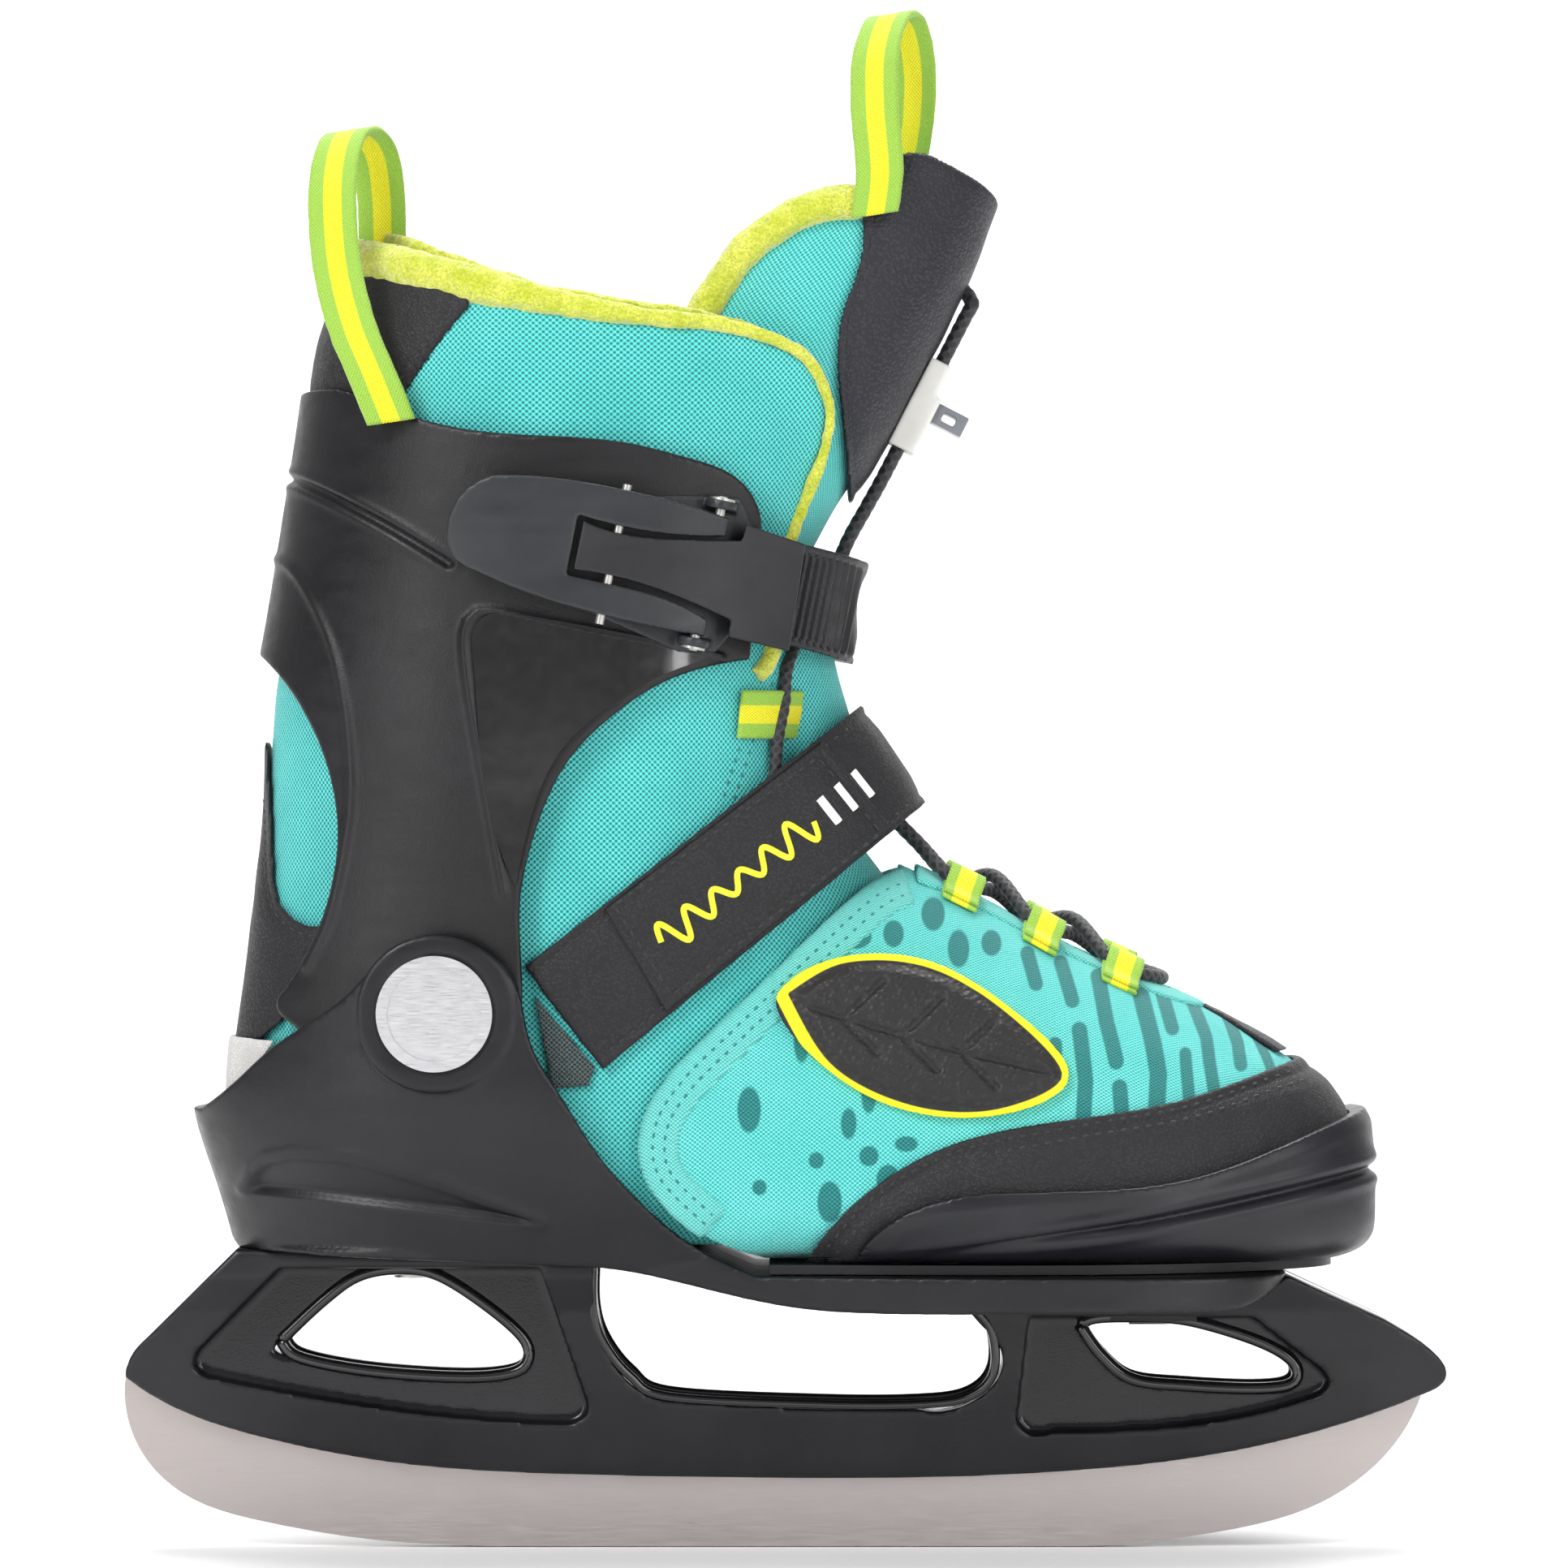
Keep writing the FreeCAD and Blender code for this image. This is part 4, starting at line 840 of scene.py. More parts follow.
LENS_TOP = ((-111.7, 75.8), (-109.6, 80.0), (-106.4, 82.4), (-100.8, 83.8), (-87.7, 83.0), (-69.0, 77.4),
            (-49.8, 69.7))
LENS_LOW = ((-111.7, 75.8), (-96.2, 75.0), (-75.8, 72.8), (-49.8, 69.7))


# middle, half length and half width of the size button's slot, and the height it opens below
SLOT_X, SLOT_LONG, SLOT_WIDE, SLOT_TOP = 77.0, 10.2, 7.2, 58.4
SLOT_SPARE = (1.06, 1.09)


def heel_shell():
    """Base shell with the shallow lens pressed into each side."""
    shell = copy_of("base_shell", "heel_cup", 0.6, 4)
    p = coords(shell)
    x, z = p[:, 0] / MM, p[:, 2] / MM
    top, low = interpolate(x, LENS_TOP), interpolate(x, LENS_LOW)
    depth = np.clip((top - z) / np.maximum(top - low, 0.8), 0, 1)
    within = ramp_up(z, low - 1.1, low + 0.5) * ramp_up(x, -112.0, -108.0) * (1 - ramp_up(x, -54.0, -49.8))
    side = ramp_up(np.abs(normals(shell)[:, 1]), 0.15, 0.4) * ramp_up(outward(shell), 0.0, 0.4)
    lip = 0.45 * bell(path_distance(p, LENS_TOP) - 0.6, 1.1)
    push(shell, side * (lip - 1.7 * depth * within))
    p = coords(shell)
    slot = (np.abs(p[:, 0] - SLOT_X * MM) < SLOT_LONG * MM) & (np.abs(p[:, 1]) < SLOT_WIDE * MM) & (z < SLOT_TOP)
    p[slot, 0] = SLOT_X * MM + (p[slot, 0] - SLOT_X * MM) * SLOT_SPARE[0]
    p[slot, 1] *= SLOT_SPARE[1]
    set_coords(shell, p)
    dress(shell, SHELL, "base", "base_shell")


CUFF_SLOT = ((-112.0, 226.0), (-104.7, 223.4), (-96.4, 219.9), (-82.0, 212.5), (-68.2, 204.2))
CUFF_CREASE = ((-110.0, 207.0), (-105.6, 206.2), (-99.6, 201.0), (-92.8, 187.5), (-89.4, 170.5), (-89.0, 153.5),
               (-93.0, 133.0), (-98.0, 122.0))
INSET_RIM = ((-57.0, 137.0), (-61.4, 162.0), (-64.3, 179.0), (-65.2, 189.2), (-63.9, 193.0), (-60.0, 194.6),
             (-45.2, 191.4), (-28.2, 188.0), (-13.0, 185.0))


def ankle_cuff():
    """Cuff with its slot, the crease behind the ankle and the rim round the inset."""
    cuff = copy_of("cuff", "ankle_cuff", 0.55, 4)
    p = coords(cuff)
    lines = [side_run(line, 3.0) for line in (CUFF_SLOT, CUFF_CREASE, INSET_RIM)]
    slot, crease, rim = (path_distance(p, line) for line in lines)
    height = -1.1 * bell(slot, 0.8) + 0.3 * bell(slot - 1.7, 0.8) + 0.5 * bell(crease, 1.0) + 0.8 * bell(rim, 0.9)
    push(cuff, height * ramp_up(outward(cuff), 0.1, 0.6))
    dress(cuff, CUFF, "cuff", "cuff")


CAP_GROOVE = ((12.0, 59.4), (39.8, 64.3), (73.8, 70.2), (99.3, 75.3), (123.0, 80.0), (130.0, 81.4))
CAP_EDGE = ((14.0, 61.0), (21.9, 70.2), (31.3, 74.5), (48.3, 76.4), (82.3, 78.9), (101.0, 84.9), (114.6, 90.0),
            (126.0, 92.8))


def toe_cap():
    """Hard toe cap with its groove and rounded upper lip."""
    cap = copy_of("toe_cap", "toe_cap_shell", 0.5, 3)
    p = coords(cap)
    groove, edge = path_distance(p, CAP_GROOVE), path_distance(p, CAP_EDGE)
    height = -1.5 * bell(groove, 0.9) + 0.45 * bell(groove - 2.4, 1.2) + 0.35 * bell(edge - 2.6, 1.8)
    push(cap, height * ramp_up(outward(cap), 0.1, 0.6))
    dress(cap, CAP, "toe_box", "toe_cap")


def tube(name, points, radius, body, look, closed=True, step=1.2):
    """Round bead along points."""
    if closed:
        points = list(points) + [points[0]]
    run = smooth_run(points, step)
    rings = [round_ring(spot, side, up, radius, 10)
             for spot, (_, side, up) in zip(run, frames_along(run, Vector((0, 1, 0))))]
    return dress(loft(name, rings), look, body)


REAR_HOLE = ((-104.9, 43.4), (-96.2, 51.5), (-89.0, 56.6), (-80.9, 58.2), (-72.4, 57.0), (-62.2, 50.7),
             (-54.2, 43.6), (-53.6, 38.6), (-58.0, 36.2), (-69.0, 35.6), (-87.7, 37.0), (-101.3, 39.8))
FRONT_HOLE = ((61.6, 46.6), (65.0, 48.0), (74.0, 48.2), (84.8, 47.4), (99.3, 43.0), (106.4, 38.6),
              (106.2, 34.4), (99.0, 33.2), (84.0, 33.8), (72.6, 35.2), (66.0, 40.4))
MIDDLE_SILL = ((-39.6, 60.0), (-39.6, 50.0), (-37.4, 43.0), (-32.0, 36.2), (-24.0, 31.8), (6.8, 30.2), (28.0, 30.2),
               (38.6, 31.8), (43.6, 37.0), (43.0, 46.0), (38.0, 51.6))
# height, and the holder's half thickness there at the middle window
HOLDER_HALF = ((15, 4.6), (33, 7.9), (50, 10.8), (60, 13.6))


def holder_beads():
    """Rounded gloss lips round the holder's windows."""
    for side, word in ((-1, "outer"), (1, "inner")):
        for name, hole in (("rear_lip", REAR_HOLE), ("front_lip", FRONT_HOLE)):
            tube(f"{name}_{word}", [(x, side * 4.7, z) for x, z in hole], 1.35, "base", GLOSS)
        sill = [(x, side * interpolate(z, HOLDER_HALF), z) for x, z in MIDDLE_SILL]
        tube(f"middle_lip_{word}", sill, 1.0, "base", GLOSS, False)


RIB_PITCH = 1.5


def ribbed_strap():
    """Toothed strap: ribs across its outer face."""
    obj = copy_of("ribbed_strap", "strap_ribs", 0.42, 3)
    p = coords(obj)
    x, z = p[:, 0] / MM, p[:, 2] / MM
    lean = x - 0.2 * (z - 198.0)
    wave = np.cos(2 * math.pi * lean / RIB_PITCH)
    ribbed = ramp_up(outward(obj), 0.5, 0.9) * ramp_up(x, -20.0, -15.0) * ramp_up(-x, -24.0, -22.0)
    edge = np.minimum(path_distance(p, ((-6.0, 210.4), (4.6, 208.3), (24.0, 203.8))),
                      path_distance(p, ((-6.0, 189.0), (1.5, 187.6), (24.0, 181.6))))
    push(obj, (0.6 * wave - 0.2) * ribbed * ramp_up(edge, 1.2, 2.2))
    dress(obj, RUBBER, "cuff", "ribbed_strap")


# ---- soft boot ------------------------------------------------------------
CUT_REACH = 75.0


def prism(name, outline):
    """Closed outline in side view, pushed across."""
    size = len(outline)
    vertices = [(x, y, z) for y in (-CUT_REACH, CUT_REACH) for x, z in outline]
    faces = [(i, (i + 1) % size, size + (i + 1) % size, size + i) for i in range(size)]
    faces += [list(reversed(range(size))), list(range(size, 2 * size))]
    obj = mesh_object(name, vertices, faces, False)
    fix = bmesh.new()
    fix.from_mesh(obj.data)
    bmesh.ops.recalc_face_normals(fix, faces=fix.faces)
    fix.to_mesh(obj.data)
    fix.free()
    return obj


def trimmed(obj, outline, voxel, passes):
    """Keeps what lies inside a side-view outline, then evens the mesh."""
    cutter = prism("cutter", outline)
    trim = obj.modifiers.new("trim", "BOOLEAN")
    trim.operation = "INTERSECT"
    trim.solver = "EXACT"
    trim.object = cutter
    apply_modifiers(obj)
    bpy.data.objects.remove(cutter)
    remeshed(obj, voxel, passes)


def flat_points(runs):
    """Side-view outline from runs: two points a line, more a smooth curve."""
    outline = []
    for run in runs:
        if len(run) == 2:
            outline.append(run[0])
        else:
            outline += side_run(run, 3.0)[:-1]
    return outline


def shaft_wall(name, inner, outer, z0, z1, rows, columns):
    """Closed wall between two offsets of the boot form."""
    vertices, faces = [], []
    for grow in (outer, inner):
        for r in range(rows + 1):
            z = z0 + (z1 - z0) * r / rows
            for k in range(columns):
                vertices.append(shaft_point(z, 2 * math.pi * k / columns, grow))
    layer = (rows + 1) * columns
    for r in range(rows):
        for k in range(columns):
            a, b = r * columns + k, r * columns + (k + 1) % columns
            faces.append((a, b, b + columns, a + columns))
            faces.append((layer + b, layer + a, layer + a + columns, layer + b + columns))
    for r, flip in ((0, True), (rows, False)):
        for k in range(columns):
            a, b = r * columns + k, r * columns + (k + 1) % columns
            face = (a, b, layer + b, layer + a)
            faces.append(tuple(reversed(face)) if flip else face)
    return mesh_object(name, vertices, faces)


COLLAR_RIM = ((8.6, 238.0), (2.6, 247.4), (-12.0, 252.2), (-28.2, 253.8), (-45.2, 256.4), (-62.2, 260.4),
              (-80.0, 264.8), (-92.0, 266.6))


def boot_outline():
    knee = polar(47.0, 101.0)
    return flat_points((
        ((-125.0, 64.5), (34.0, 64.5)),
        ((34.0, 64.5), (34.0, 140.0)),
        ((34.0, 140.0), (14.0, 164.0), (5.0, 176.0), knee, (-0.5, 200.0), (4.1, 218.1), (8.2, 229.0), (8.6, 238.0)),
        COLLAR_RIM,
        ((-92.0, 266.6), (-125.0, 266.6)),
        ((-125.0, 266.6), (-125.0, 64.5)),
    ))


def bend(obj):
    """Bakes the object's placement into its mesh; it rides no body."""
    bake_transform(obj)


def boot_fabric():
    """Outer boot of spacer mesh, one skin from the heel to the collar."""
    wall = shaft_wall("boot_fabric", -3.6, 0.0, 60.0, 275.0, 110, 120)
    trimmed(wall, boot_outline(), 1.3, 3)
    p = coords(wall)
    out = ramp_up(outward(wall), 0.0, 0.6)
    z = p[:, 2] / MM
    collar = bell(z - 246.0, 12.0) * 1.6
    folds = field(p, 13.0) * 0.35 + field(p, 30.0, 2.0) * 0.5
    push(wall, out * (collar + folds * ramp_up(z, 100.0, 130.0)))
    store(wall, "lining", np.where(outward(wall) < -0.15, -1.0, 1.0))
    shaft_flat(wall)
    wall.data.materials.append(TURQUOISE)
    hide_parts("rear_boot", "boot_shaft")
    bend(wall)


# the roll's middle line: side view, and how far it stands off the boot's form
ROLL_LINE = ((0.6, 208.0, 0.5), (5.2, 219.6, 0.8), (8.6, 229.0, 1.0), (9.0, 238.0, 1.4), (3.2, 247.6, 1.8),
             (-12.0, 252.8, 1.6), (-28.2, 254.4, 1.4), (-45.2, 257.2, 0.9), (-62.2, 261.0, 0.2),
             (-78.0, 265.2, -0.3), (-88.0, 267.6, -0.6))
ROLL_BACK = 268.4
# along the boot, and the roll's radius there: thin piping in front, stuffed at the back
ROLL_RADII = ((-92.0, 4.6), (-80.0, 4.6), (-62.0, 4.1), (-45.0, 2.9), (-28.0, 1.9), (0.0, 1.5), (9.0, 1.25))


def rim_route():
    """Round the collar: up the outer front edge, over the back, down the inner one."""
    run = smooth_run([(x, off, z) for x, z, off in ROLL_LINE], 3.0)
    outer = [Vector((p.x, -shaft_y(p.x, p.z, p.y), p.z)) for p in run]
    inner = [Vector((p.x, -p.y, p.z)) for p in reversed(outer)]
    back = Vector((column_at(SHAFT, ROLL_BACK, 1) + 0.8, 0.0, ROLL_BACK))
    return smooth_run(outer + [back] + inner, 1.2)


def roll_radius(x):
    return interpolate(x, ROLL_RADII)


def fleece_roll(name, route, radii, flatten=0.8):
    """Stuffed roll of fleece along a route, thicker where radii says."""
    rings = [round_ring(spot, side, up, radii(spot.x), 20, flatten)
             for spot, (_, side, up) in zip(route, frames_along(route))]
    roll = loft(name, rings)
    remeshed(roll, 0.6, 2)
    p = coords(roll)
    push(roll, 0.25 * field(p, 2.2) + 0.35 * field(p, 7.0, 1.0))
    return dress(roll, FLEECE)


def collar():
    """Fleece lining and its roll over the rim, thick at the back."""
    lining = copy_of("collar_lining", "collar_fleece", 0.9, 3)
    p = coords(lining)
    push(lining, 0.35 * field(p, 2.4) + 0.6 * field(p, 9.0, 3.0))
    lining.data.materials.append(FLEECE)
    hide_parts("collar_lining")
    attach(lining, "cuff")
    roll = fleece_roll("collar_roll", rim_route(), roll_radius)
    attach(roll, "cuff")


def leather_piece(node, name, look, body, voxel=0.45, passes=3, edge=None, rise=0.35, sink=0.25):
    """Leather layer: soft edges, slightly crowned between its stitched borders."""
    obj = copy_of(node, name, voxel, passes)
    p = coords(obj)
    amount = 0.18 * field(p, 8.0) + 0.1 * field(p, 3.0, 1.0)
    if edge:
        gap = path_distance(p, edge)
        amount += crowned(gap, rise, 2.4, 6.0, sink, 2.0, 0.8)
    swell(obj, amount)
    return dress(obj, look, body, node)


def crowned(gap, rise, near, far, sink, row, width):
    """Relief of a stitched layer: crowned inside its border, pressed in along the row of thread."""
    return rise * ramp_up(gap, near, far) - sink * bell(gap - row, width)


def inset_path(points, gap):
    """Path moved sideways by gap, to its left."""
    moved = []
    for i, (x, z) in enumerate(points):
        a = points[max(i - 1, 0)]
        b = points[min(i + 1, len(points) - 1)]
        dx, dz = b[0] - a[0], b[1] - a[1]
        size = math.hypot(dx, dz)
        moved.append((x - dz / size * gap, z + dx / size * gap))
    return moved


HEEL_EDGE = ((-121.0, 97.0), (-104.0, 110.0), (-96.0, 122.0), (-94.0, 130.0), (-98.0, 130.0), (-101.3, 131.4),
             (-104.4, 134.5), (-105.8, 140.0), (-106.4, 152.0), (-107.6, 168.0))


def heel_pieces():
    counter = shaft_wall("heel_counter", 0.2, 1.5, 90.0, 170.0, 60, 120)
    trimmed(counter, list(HEEL_EDGE) + [(-130.0, 168.0), (-130.0, 97.0)], 0.5, 3)
    p = coords(counter)
    gap = path_distance(p, HEEL_EDGE[2:])
    amount = 0.2 * field(p, 8.0) + crowned(gap, 0.3, 2.0, 5.0, 0.25, 1.8, 0.7)
    swell(counter, amount)
    dress(counter, LEATHER, "base", "heel_leather")
    seam("heel_counter_thread", "base", surface(counter), [inset_path(HEEL_EDGE[3:], 1.8)], THREAD,
         pitch=2.2, length=1.4, width=0.5)
    leather_piece("heel_tab", "heel_pad", FELT, "base")
    bed = copy_of("insole", "foot_bed_foam", 1.0, 3)
    shaft_flat(bed)
    store(bed, "lining", np.full(len(bed.data.vertices), 1.0))
    dress(bed, LINING, "base", "insole")


def collar_patch():
    edge = ((-84.0, 226.0), (-77.6, 240.0), (-64.5, 257.0))
    patch = leather_piece("collar_leather", "collar_patch", LEATHER, "cuff", edge=edge)
    push(patch, 1.3 * bell(coords(patch)[:, 2] / MM - 246.0, 12.0) * ramp_up(outward(patch), -0.6, 0.2))
    seam("collar_patch_thread", "cuff", surface(patch), [inset_path(edge, 1.8)], THREAD)


STRAP_UPPER = ((-53.0, 122.0), (40.0, 194.3))
STRAP_LOWER = ((-37.0, 101.0), (36.0, 160.8))
PATCH = ((-36.6, 133.6), (-24.0, 112.8), (22.0, 150.4), (8.0, 168.0))


def instep_strap():
    strap = copy_of("power_strap", "instep_strap", 0.5, 3)
    p = coords(strap)
    gap = np.minimum(path_distance(p, STRAP_UPPER), path_distance(p, STRAP_LOWER))
    amount = crowned(gap, 0.4, 2.6, 7.0, 0.3, 2.0, 0.8) + 0.2 * field(p, 8.0)
    swell(strap, amount)
    dress(strap, LEATHER, "base", "power_strap")
    skin = surface(strap)
    seam("instep_strap_thread", "base", skin,
         [inset_path(STRAP_UPPER, -2.1), inset_path(STRAP_LOWER, 2.1)], THREAD)
    loop = PATCH + (PATCH[0],)
    patch = copy_of("strap_patch", "strap_overlay", 0.4, 3)
    p = coords(patch)
    gap = path_distance(p, loop)
    amount = crowned(gap, 0.3, 2.4, 6.0, 0.25, 1.8, 0.7) + 0.15 * field(p, 7.0)
    swell(patch, amount)
    dress(patch, LEATHER, "base", "strap_patch")
    middle = (sum(x for x, _ in PATCH) / 4, sum(z for _, z in PATCH) / 4)
    ring = [(middle[0] + (x - middle[0]) * 0.93, middle[1] + (z - middle[1]) * 0.88) for x, z in loop]
    seam("strap_overlay_thread", "base", surface(patch), [[a, b] for a, b in zip(ring, ring[1:])], THREAD,
         sides=(-1,))
    strap_print(surface(strap, patch))
    grip = copy_of("hook_loop_pad", "hook_loop_grip", 0.45, 2)
    p = coords(grip)
    swell(grip, 0.3 * field(p, 1.1))
    grip.data.materials.append(LINING)
    shaft_flat(grip)
    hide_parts("hook_loop_pad")
    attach(grip, "base")


WAVE_START, WAVE_END = (-25.0, 127.0), (6.0, 151.6)
WAVES = 6
BARS = ((9.2, 153.9), (12.6, 156.6), (16.0, 159.3))


def strap_print(skin):
    """Raised wave and three bars printed on the strap's outer side."""
    dx, dz = WAVE_END[0] - WAVE_START[0], WAVE_END[1] - WAVE_START[1]
    size = math.hypot(dx, dz)
    across = (-dz / size, dx / size)
    wave = []
    for k in range(WAVES * 12 + 1):
        share = k / (WAVES * 12)
        off = 3.4 * math.sin(2 * math.pi * WAVES * share) * (0.75 + 0.25 * math.cos(2 * math.pi * share))
        wave.append((WAVE_START[0] + dx * share + across[0] * off, WAVE_START[1] + dz * share + across[1] * off))
    bars = []
    for x, z in BARS:
        bars.append([(x - across[0] * 3.2, z - across[1] * 3.2), (x + across[0] * 3.2, z + across[1] * 3.2)])
    for number, (path, look) in enumerate([(wave, LIME_PRINT)] + [(bar, WHITE_PRINT) for bar in bars]):
        spots = []
        for x, z in path:
            hit, _ = on_side(skin, x, z, -1)
            if hit:
                spots.append(hit + Vector((0, 0.12, 0)))
        if len(spots) < 2:
            continue
        bead = tube(f"strap_print_{number}", spots, 0.7 if number == 0 else 1.0, "base", look, False, 0.4)
        flatten(bead, 0.45)


def flatten(obj, depth):
    """Bead pressed flat against the face it lies on."""
    p = coords(obj)
    p[:, 1] -= depth * 0.6 * MM * normals(obj)[:, 1]
    set_coords(obj, p)


# ---- tongue ---------------------------------------------------------------
PATCH_EDGE = ((13.8, 214.0), (11.8, 236.0), (12.0, 255.0), (16.4, 270.0), (16.8, 281.0), (21.6, 287.0))


def tongue_out(obj):
    """How far each normal points out of the tongue."""
    away = coords(obj)
    away[:, 0] -= 0.46 * (away[:, 2] - 0.216) - 0.014
    return facing(obj, away)


CLOTH_FRAMES = 20


def puffed(obj, cap):
    """Cloth settled under a little pressure, each point kept within cap millimetres of its start."""
    before = coords(obj)
    cloth = obj.modifiers.new("cloth", "CLOTH")
    cloth.settings.use_pressure = True
    cloth.settings.uniform_pressure_force = 4.0
    cloth.settings.quality = 4
    cloth.settings.mass = 0.3
    cloth.settings.tension_stiffness = 40
    cloth.settings.bending_stiffness = 2
    cloth.settings.effector_weights.gravity = 0
    cloth.point_cache.frame_start, cloth.point_cache.frame_end = 1, CLOTH_FRAMES
    scene = bpy.context.scene
    for number in range(1, CLOTH_FRAMES + 1):
        scene.frame_set(number)
    apply_modifiers(obj)
    scene.frame_set(1)
    move = coords(obj) - before
    size = np.linalg.norm(move, axis=1)
    keep = np.minimum(1.0, cap * MM / np.maximum(size, 1e-9))
    set_coords(obj, before + move * keep[:, None])


def tongue():
    """Padded tongue of lighter mesh."""
    pad = copy_of("tongue", "tongue_pad", 2.2, 3)
    puffed(pad, 1.6)
    divide = pad.modifiers.new("divide", "SUBSURF")
    divide.levels = divide.render_levels = 1
    apply_modifiers(pad)
    pad.data.materials.clear()
    p = coords(pad)
    push(pad, 0.3 * field(p, 10.0) - 0.3)
    tongue_flat(pad)
    pad.data.materials.append(AQUA)
    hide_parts("tongue")
    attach(pad, "cuff")


ARCH = ((-26.0, 236.0), (-22.0, 246.0), (-17.0, 255.4), (-8.4, 268.4), (1.4, 275.8), (9.0, 278.6), (15.0, 279.0),
        (18.6, 279.4))


def tongue_roll():
    """Fleece arch along the tongue's rear and top edges."""
    line = smooth_run([(x, 0.0, z) for x, z in ARCH], 1.5)
    for name, side in (("tongue_roll_outer", -1), ("tongue_roll_inner", 1)):
        route = [Vector((p.x, side * tongue_y(p.x, p.z, 0.4), p.z)) for p in line]
        roll = fleece_roll(name, route, lambda x: 3.6 if x < 16 else 2.6, 1.0)
        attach(roll, "cuff")


# height, front and half width of the instep pad
PAD_SECTIONS = (
    (150.0, 20.0, 20.0),
    (158.0, 18.6, 21.0),
    (166.0, 16.0, 22.0),
    (174.0, 13.6, 23.0),
    (182.0, 11.6, 23.5),
    (190.0, 9.6, 24.0),
    (198.0, 8.4, 24.0),
)
PAD_REACH = 26.0


def instep_pad():
    """Padded mesh over the instep between the two straps."""
    rings = []
    for z, front, half in PAD_SECTIONS:
        turns = [2 * math.pi * k / 48 for k in range(48)]
        rings.append([Vector((front - PAD_REACH + PAD_REACH * power(math.cos(turn), 0.9),
                              half * power(math.sin(turn), 0.9), z)) for turn in turns])
    pad = remeshed(loft("instep_pad", rings), 1.4, 4)
    p = coords(pad)
    push(pad, 0.4 * field(p, 9.0))
    store(pad, "lining", np.ones(len(p)))
    shaft_flat(pad)
    pad.data.materials.append(TURQUOISE)
    bend(pad)


def tongue_patch():
    """Pebbled leather on the tongue's front."""
    patch = copy_of("tongue_leather", "tongue_patch", 0.45, 3)
    p = coords(patch)
    gap = path_distance(p, PATCH_EDGE)
    amount = 0.5 + crowned(gap, 0.5, 1.6, 5.0, 0.3, 1.5, 0.6) + 0.25 * field(p, 9.0)
    push(patch, amount * ramp_up(tongue_out(patch), 0.0, 0.5))
    dress(patch, PEBBLE, "cuff", "tongue_leather")
    seam("tongue_patch_thread", "cuff", surface(patch), [inset_path(PATCH_EDGE, -1.6)], THREAD,
         pitch=2.2, length=1.4, width=0.5)


# ---- toe box --------------------------------------------------------------
DOTS = (
    (30.6, 132.3, 2.4, 3.4), (22.4, 128.4, 2.1, 2.8), (14.6, 127.8, 3.4, 2.4), (9.4, 116.5, 2.5, 4.4),
    (35.7, 125.2, 2.2, 3.8), (42.5, 126.2, 2.1, 2.6), (3.6, 106.7, 1.6, 4.4), (-7.1, 92.9, 2.4, 4.7),
    (6.6, 82.6, 1.6, 1.7), (-5.0, 77.1, 1.5, 1.6), (9.3, 74.1, 2.5, 4.3), (17.3, 83.5, 2.0, 2.1),
    (21.2, 78.8, 2.4, 3.0), (13.2, 90.1, 1.6, 3.2), (7.6, 108.0, 1.2, 1.6), (17.3, 95.5, 1.5, 3.4),
    (24.9, 86.0, 2.4, 1.6),
)
STRIPES = (
    (1.6, (64.7, 119.0), (66.0, 110.0), (67.8, 102.4)),
    (1.8, (73.2, 117.0), (75.4, 106.2), (76.6, 99.9), (76.0, 92.0)),
    (1.5, (78.2, 115.4), (79.7, 108.7)),
    (1.4, (84.5, 114.0), (87.0, 106.8), (88.2, 96.2)),
    (1.4, (91.7, 112.4), (93.9, 105.6), (94.2, 101.5)),
    (1.1, (97.3, 109.6), (99.8, 103.0), (101.0, 99.3)),
    (1.3, (82.3, 103.7), (82.9, 94.0)),
    (1.6, (68.5, 97.4), (69.0, 90.0)),
    (1.6, (60.3, 108.7), (61.5, 98.7), (60.9, 90.0)),
    (1.4, (55.3, 106.0), (55.3, 101.0)),
    (1.5, (50.0, 124.0), (51.5, 118.0)),
    (1.5, (57.0, 122.0), (59.0, 114.5)),
)
REAR_EDGE = ((-17.0, 67.4), (-27.6, 78.4), (-28.4, 90.0), (-22.7, 99.8), (-13.3, 109.3), (-0.2, 121.8),
             (12.4, 133.7), (19.0, 138.9), (24.0, 141.0))
BUMPER_EDGE = ((4.0, 61.0), (16.0, 75.3), (33.0, 85.5), (56.8, 90.8), (82.3, 95.0), (101.0, 100.6), (118.0, 104.0))


def mark_distance(points):
    """Signed distance in millimetres from the print's dots and stripes."""
    x, z = points[:, 0] / MM, points[:, 2] / MM
    best = np.full(len(points), 1e9)
    for cx, cz, rx, rz in DOTS:
        best = np.minimum(best, (np.hypot((x - cx) / rx, (z - cz) / rz) - 1) * min(rx, rz))
    for half, *path in STRIPES:
        best = np.minimum(best, path_distance(points, path) - half)
    return best


def toe_fabric():
    upper = copy_of("front_upper", "toe_knit", 0.8, 3)
    p = coords(upper)
    gap = np.minimum(path_distance(p, REAR_EDGE), path_distance(p, BUMPER_EDGE))
    out = ramp_up(outward(upper), -0.1, 0.4)
    push(upper, out * (0.5 * ramp_up(gap, 4.0, 12.0) + 0.2 * field(p, 12.0)))
    store(upper, "mark", mark_distance(p))
    foot_flat(upper)
    upper.data.materials.append(PRINTED)
    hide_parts("front_upper")
    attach(upper, "toe_box")
    liner = copy_of("toe_liner", "toe_lining", 1.1, 3)
    foot_flat(liner)
    dress(liner, LINING, "toe_box", "toe_liner")


BINDING_W = 7.0


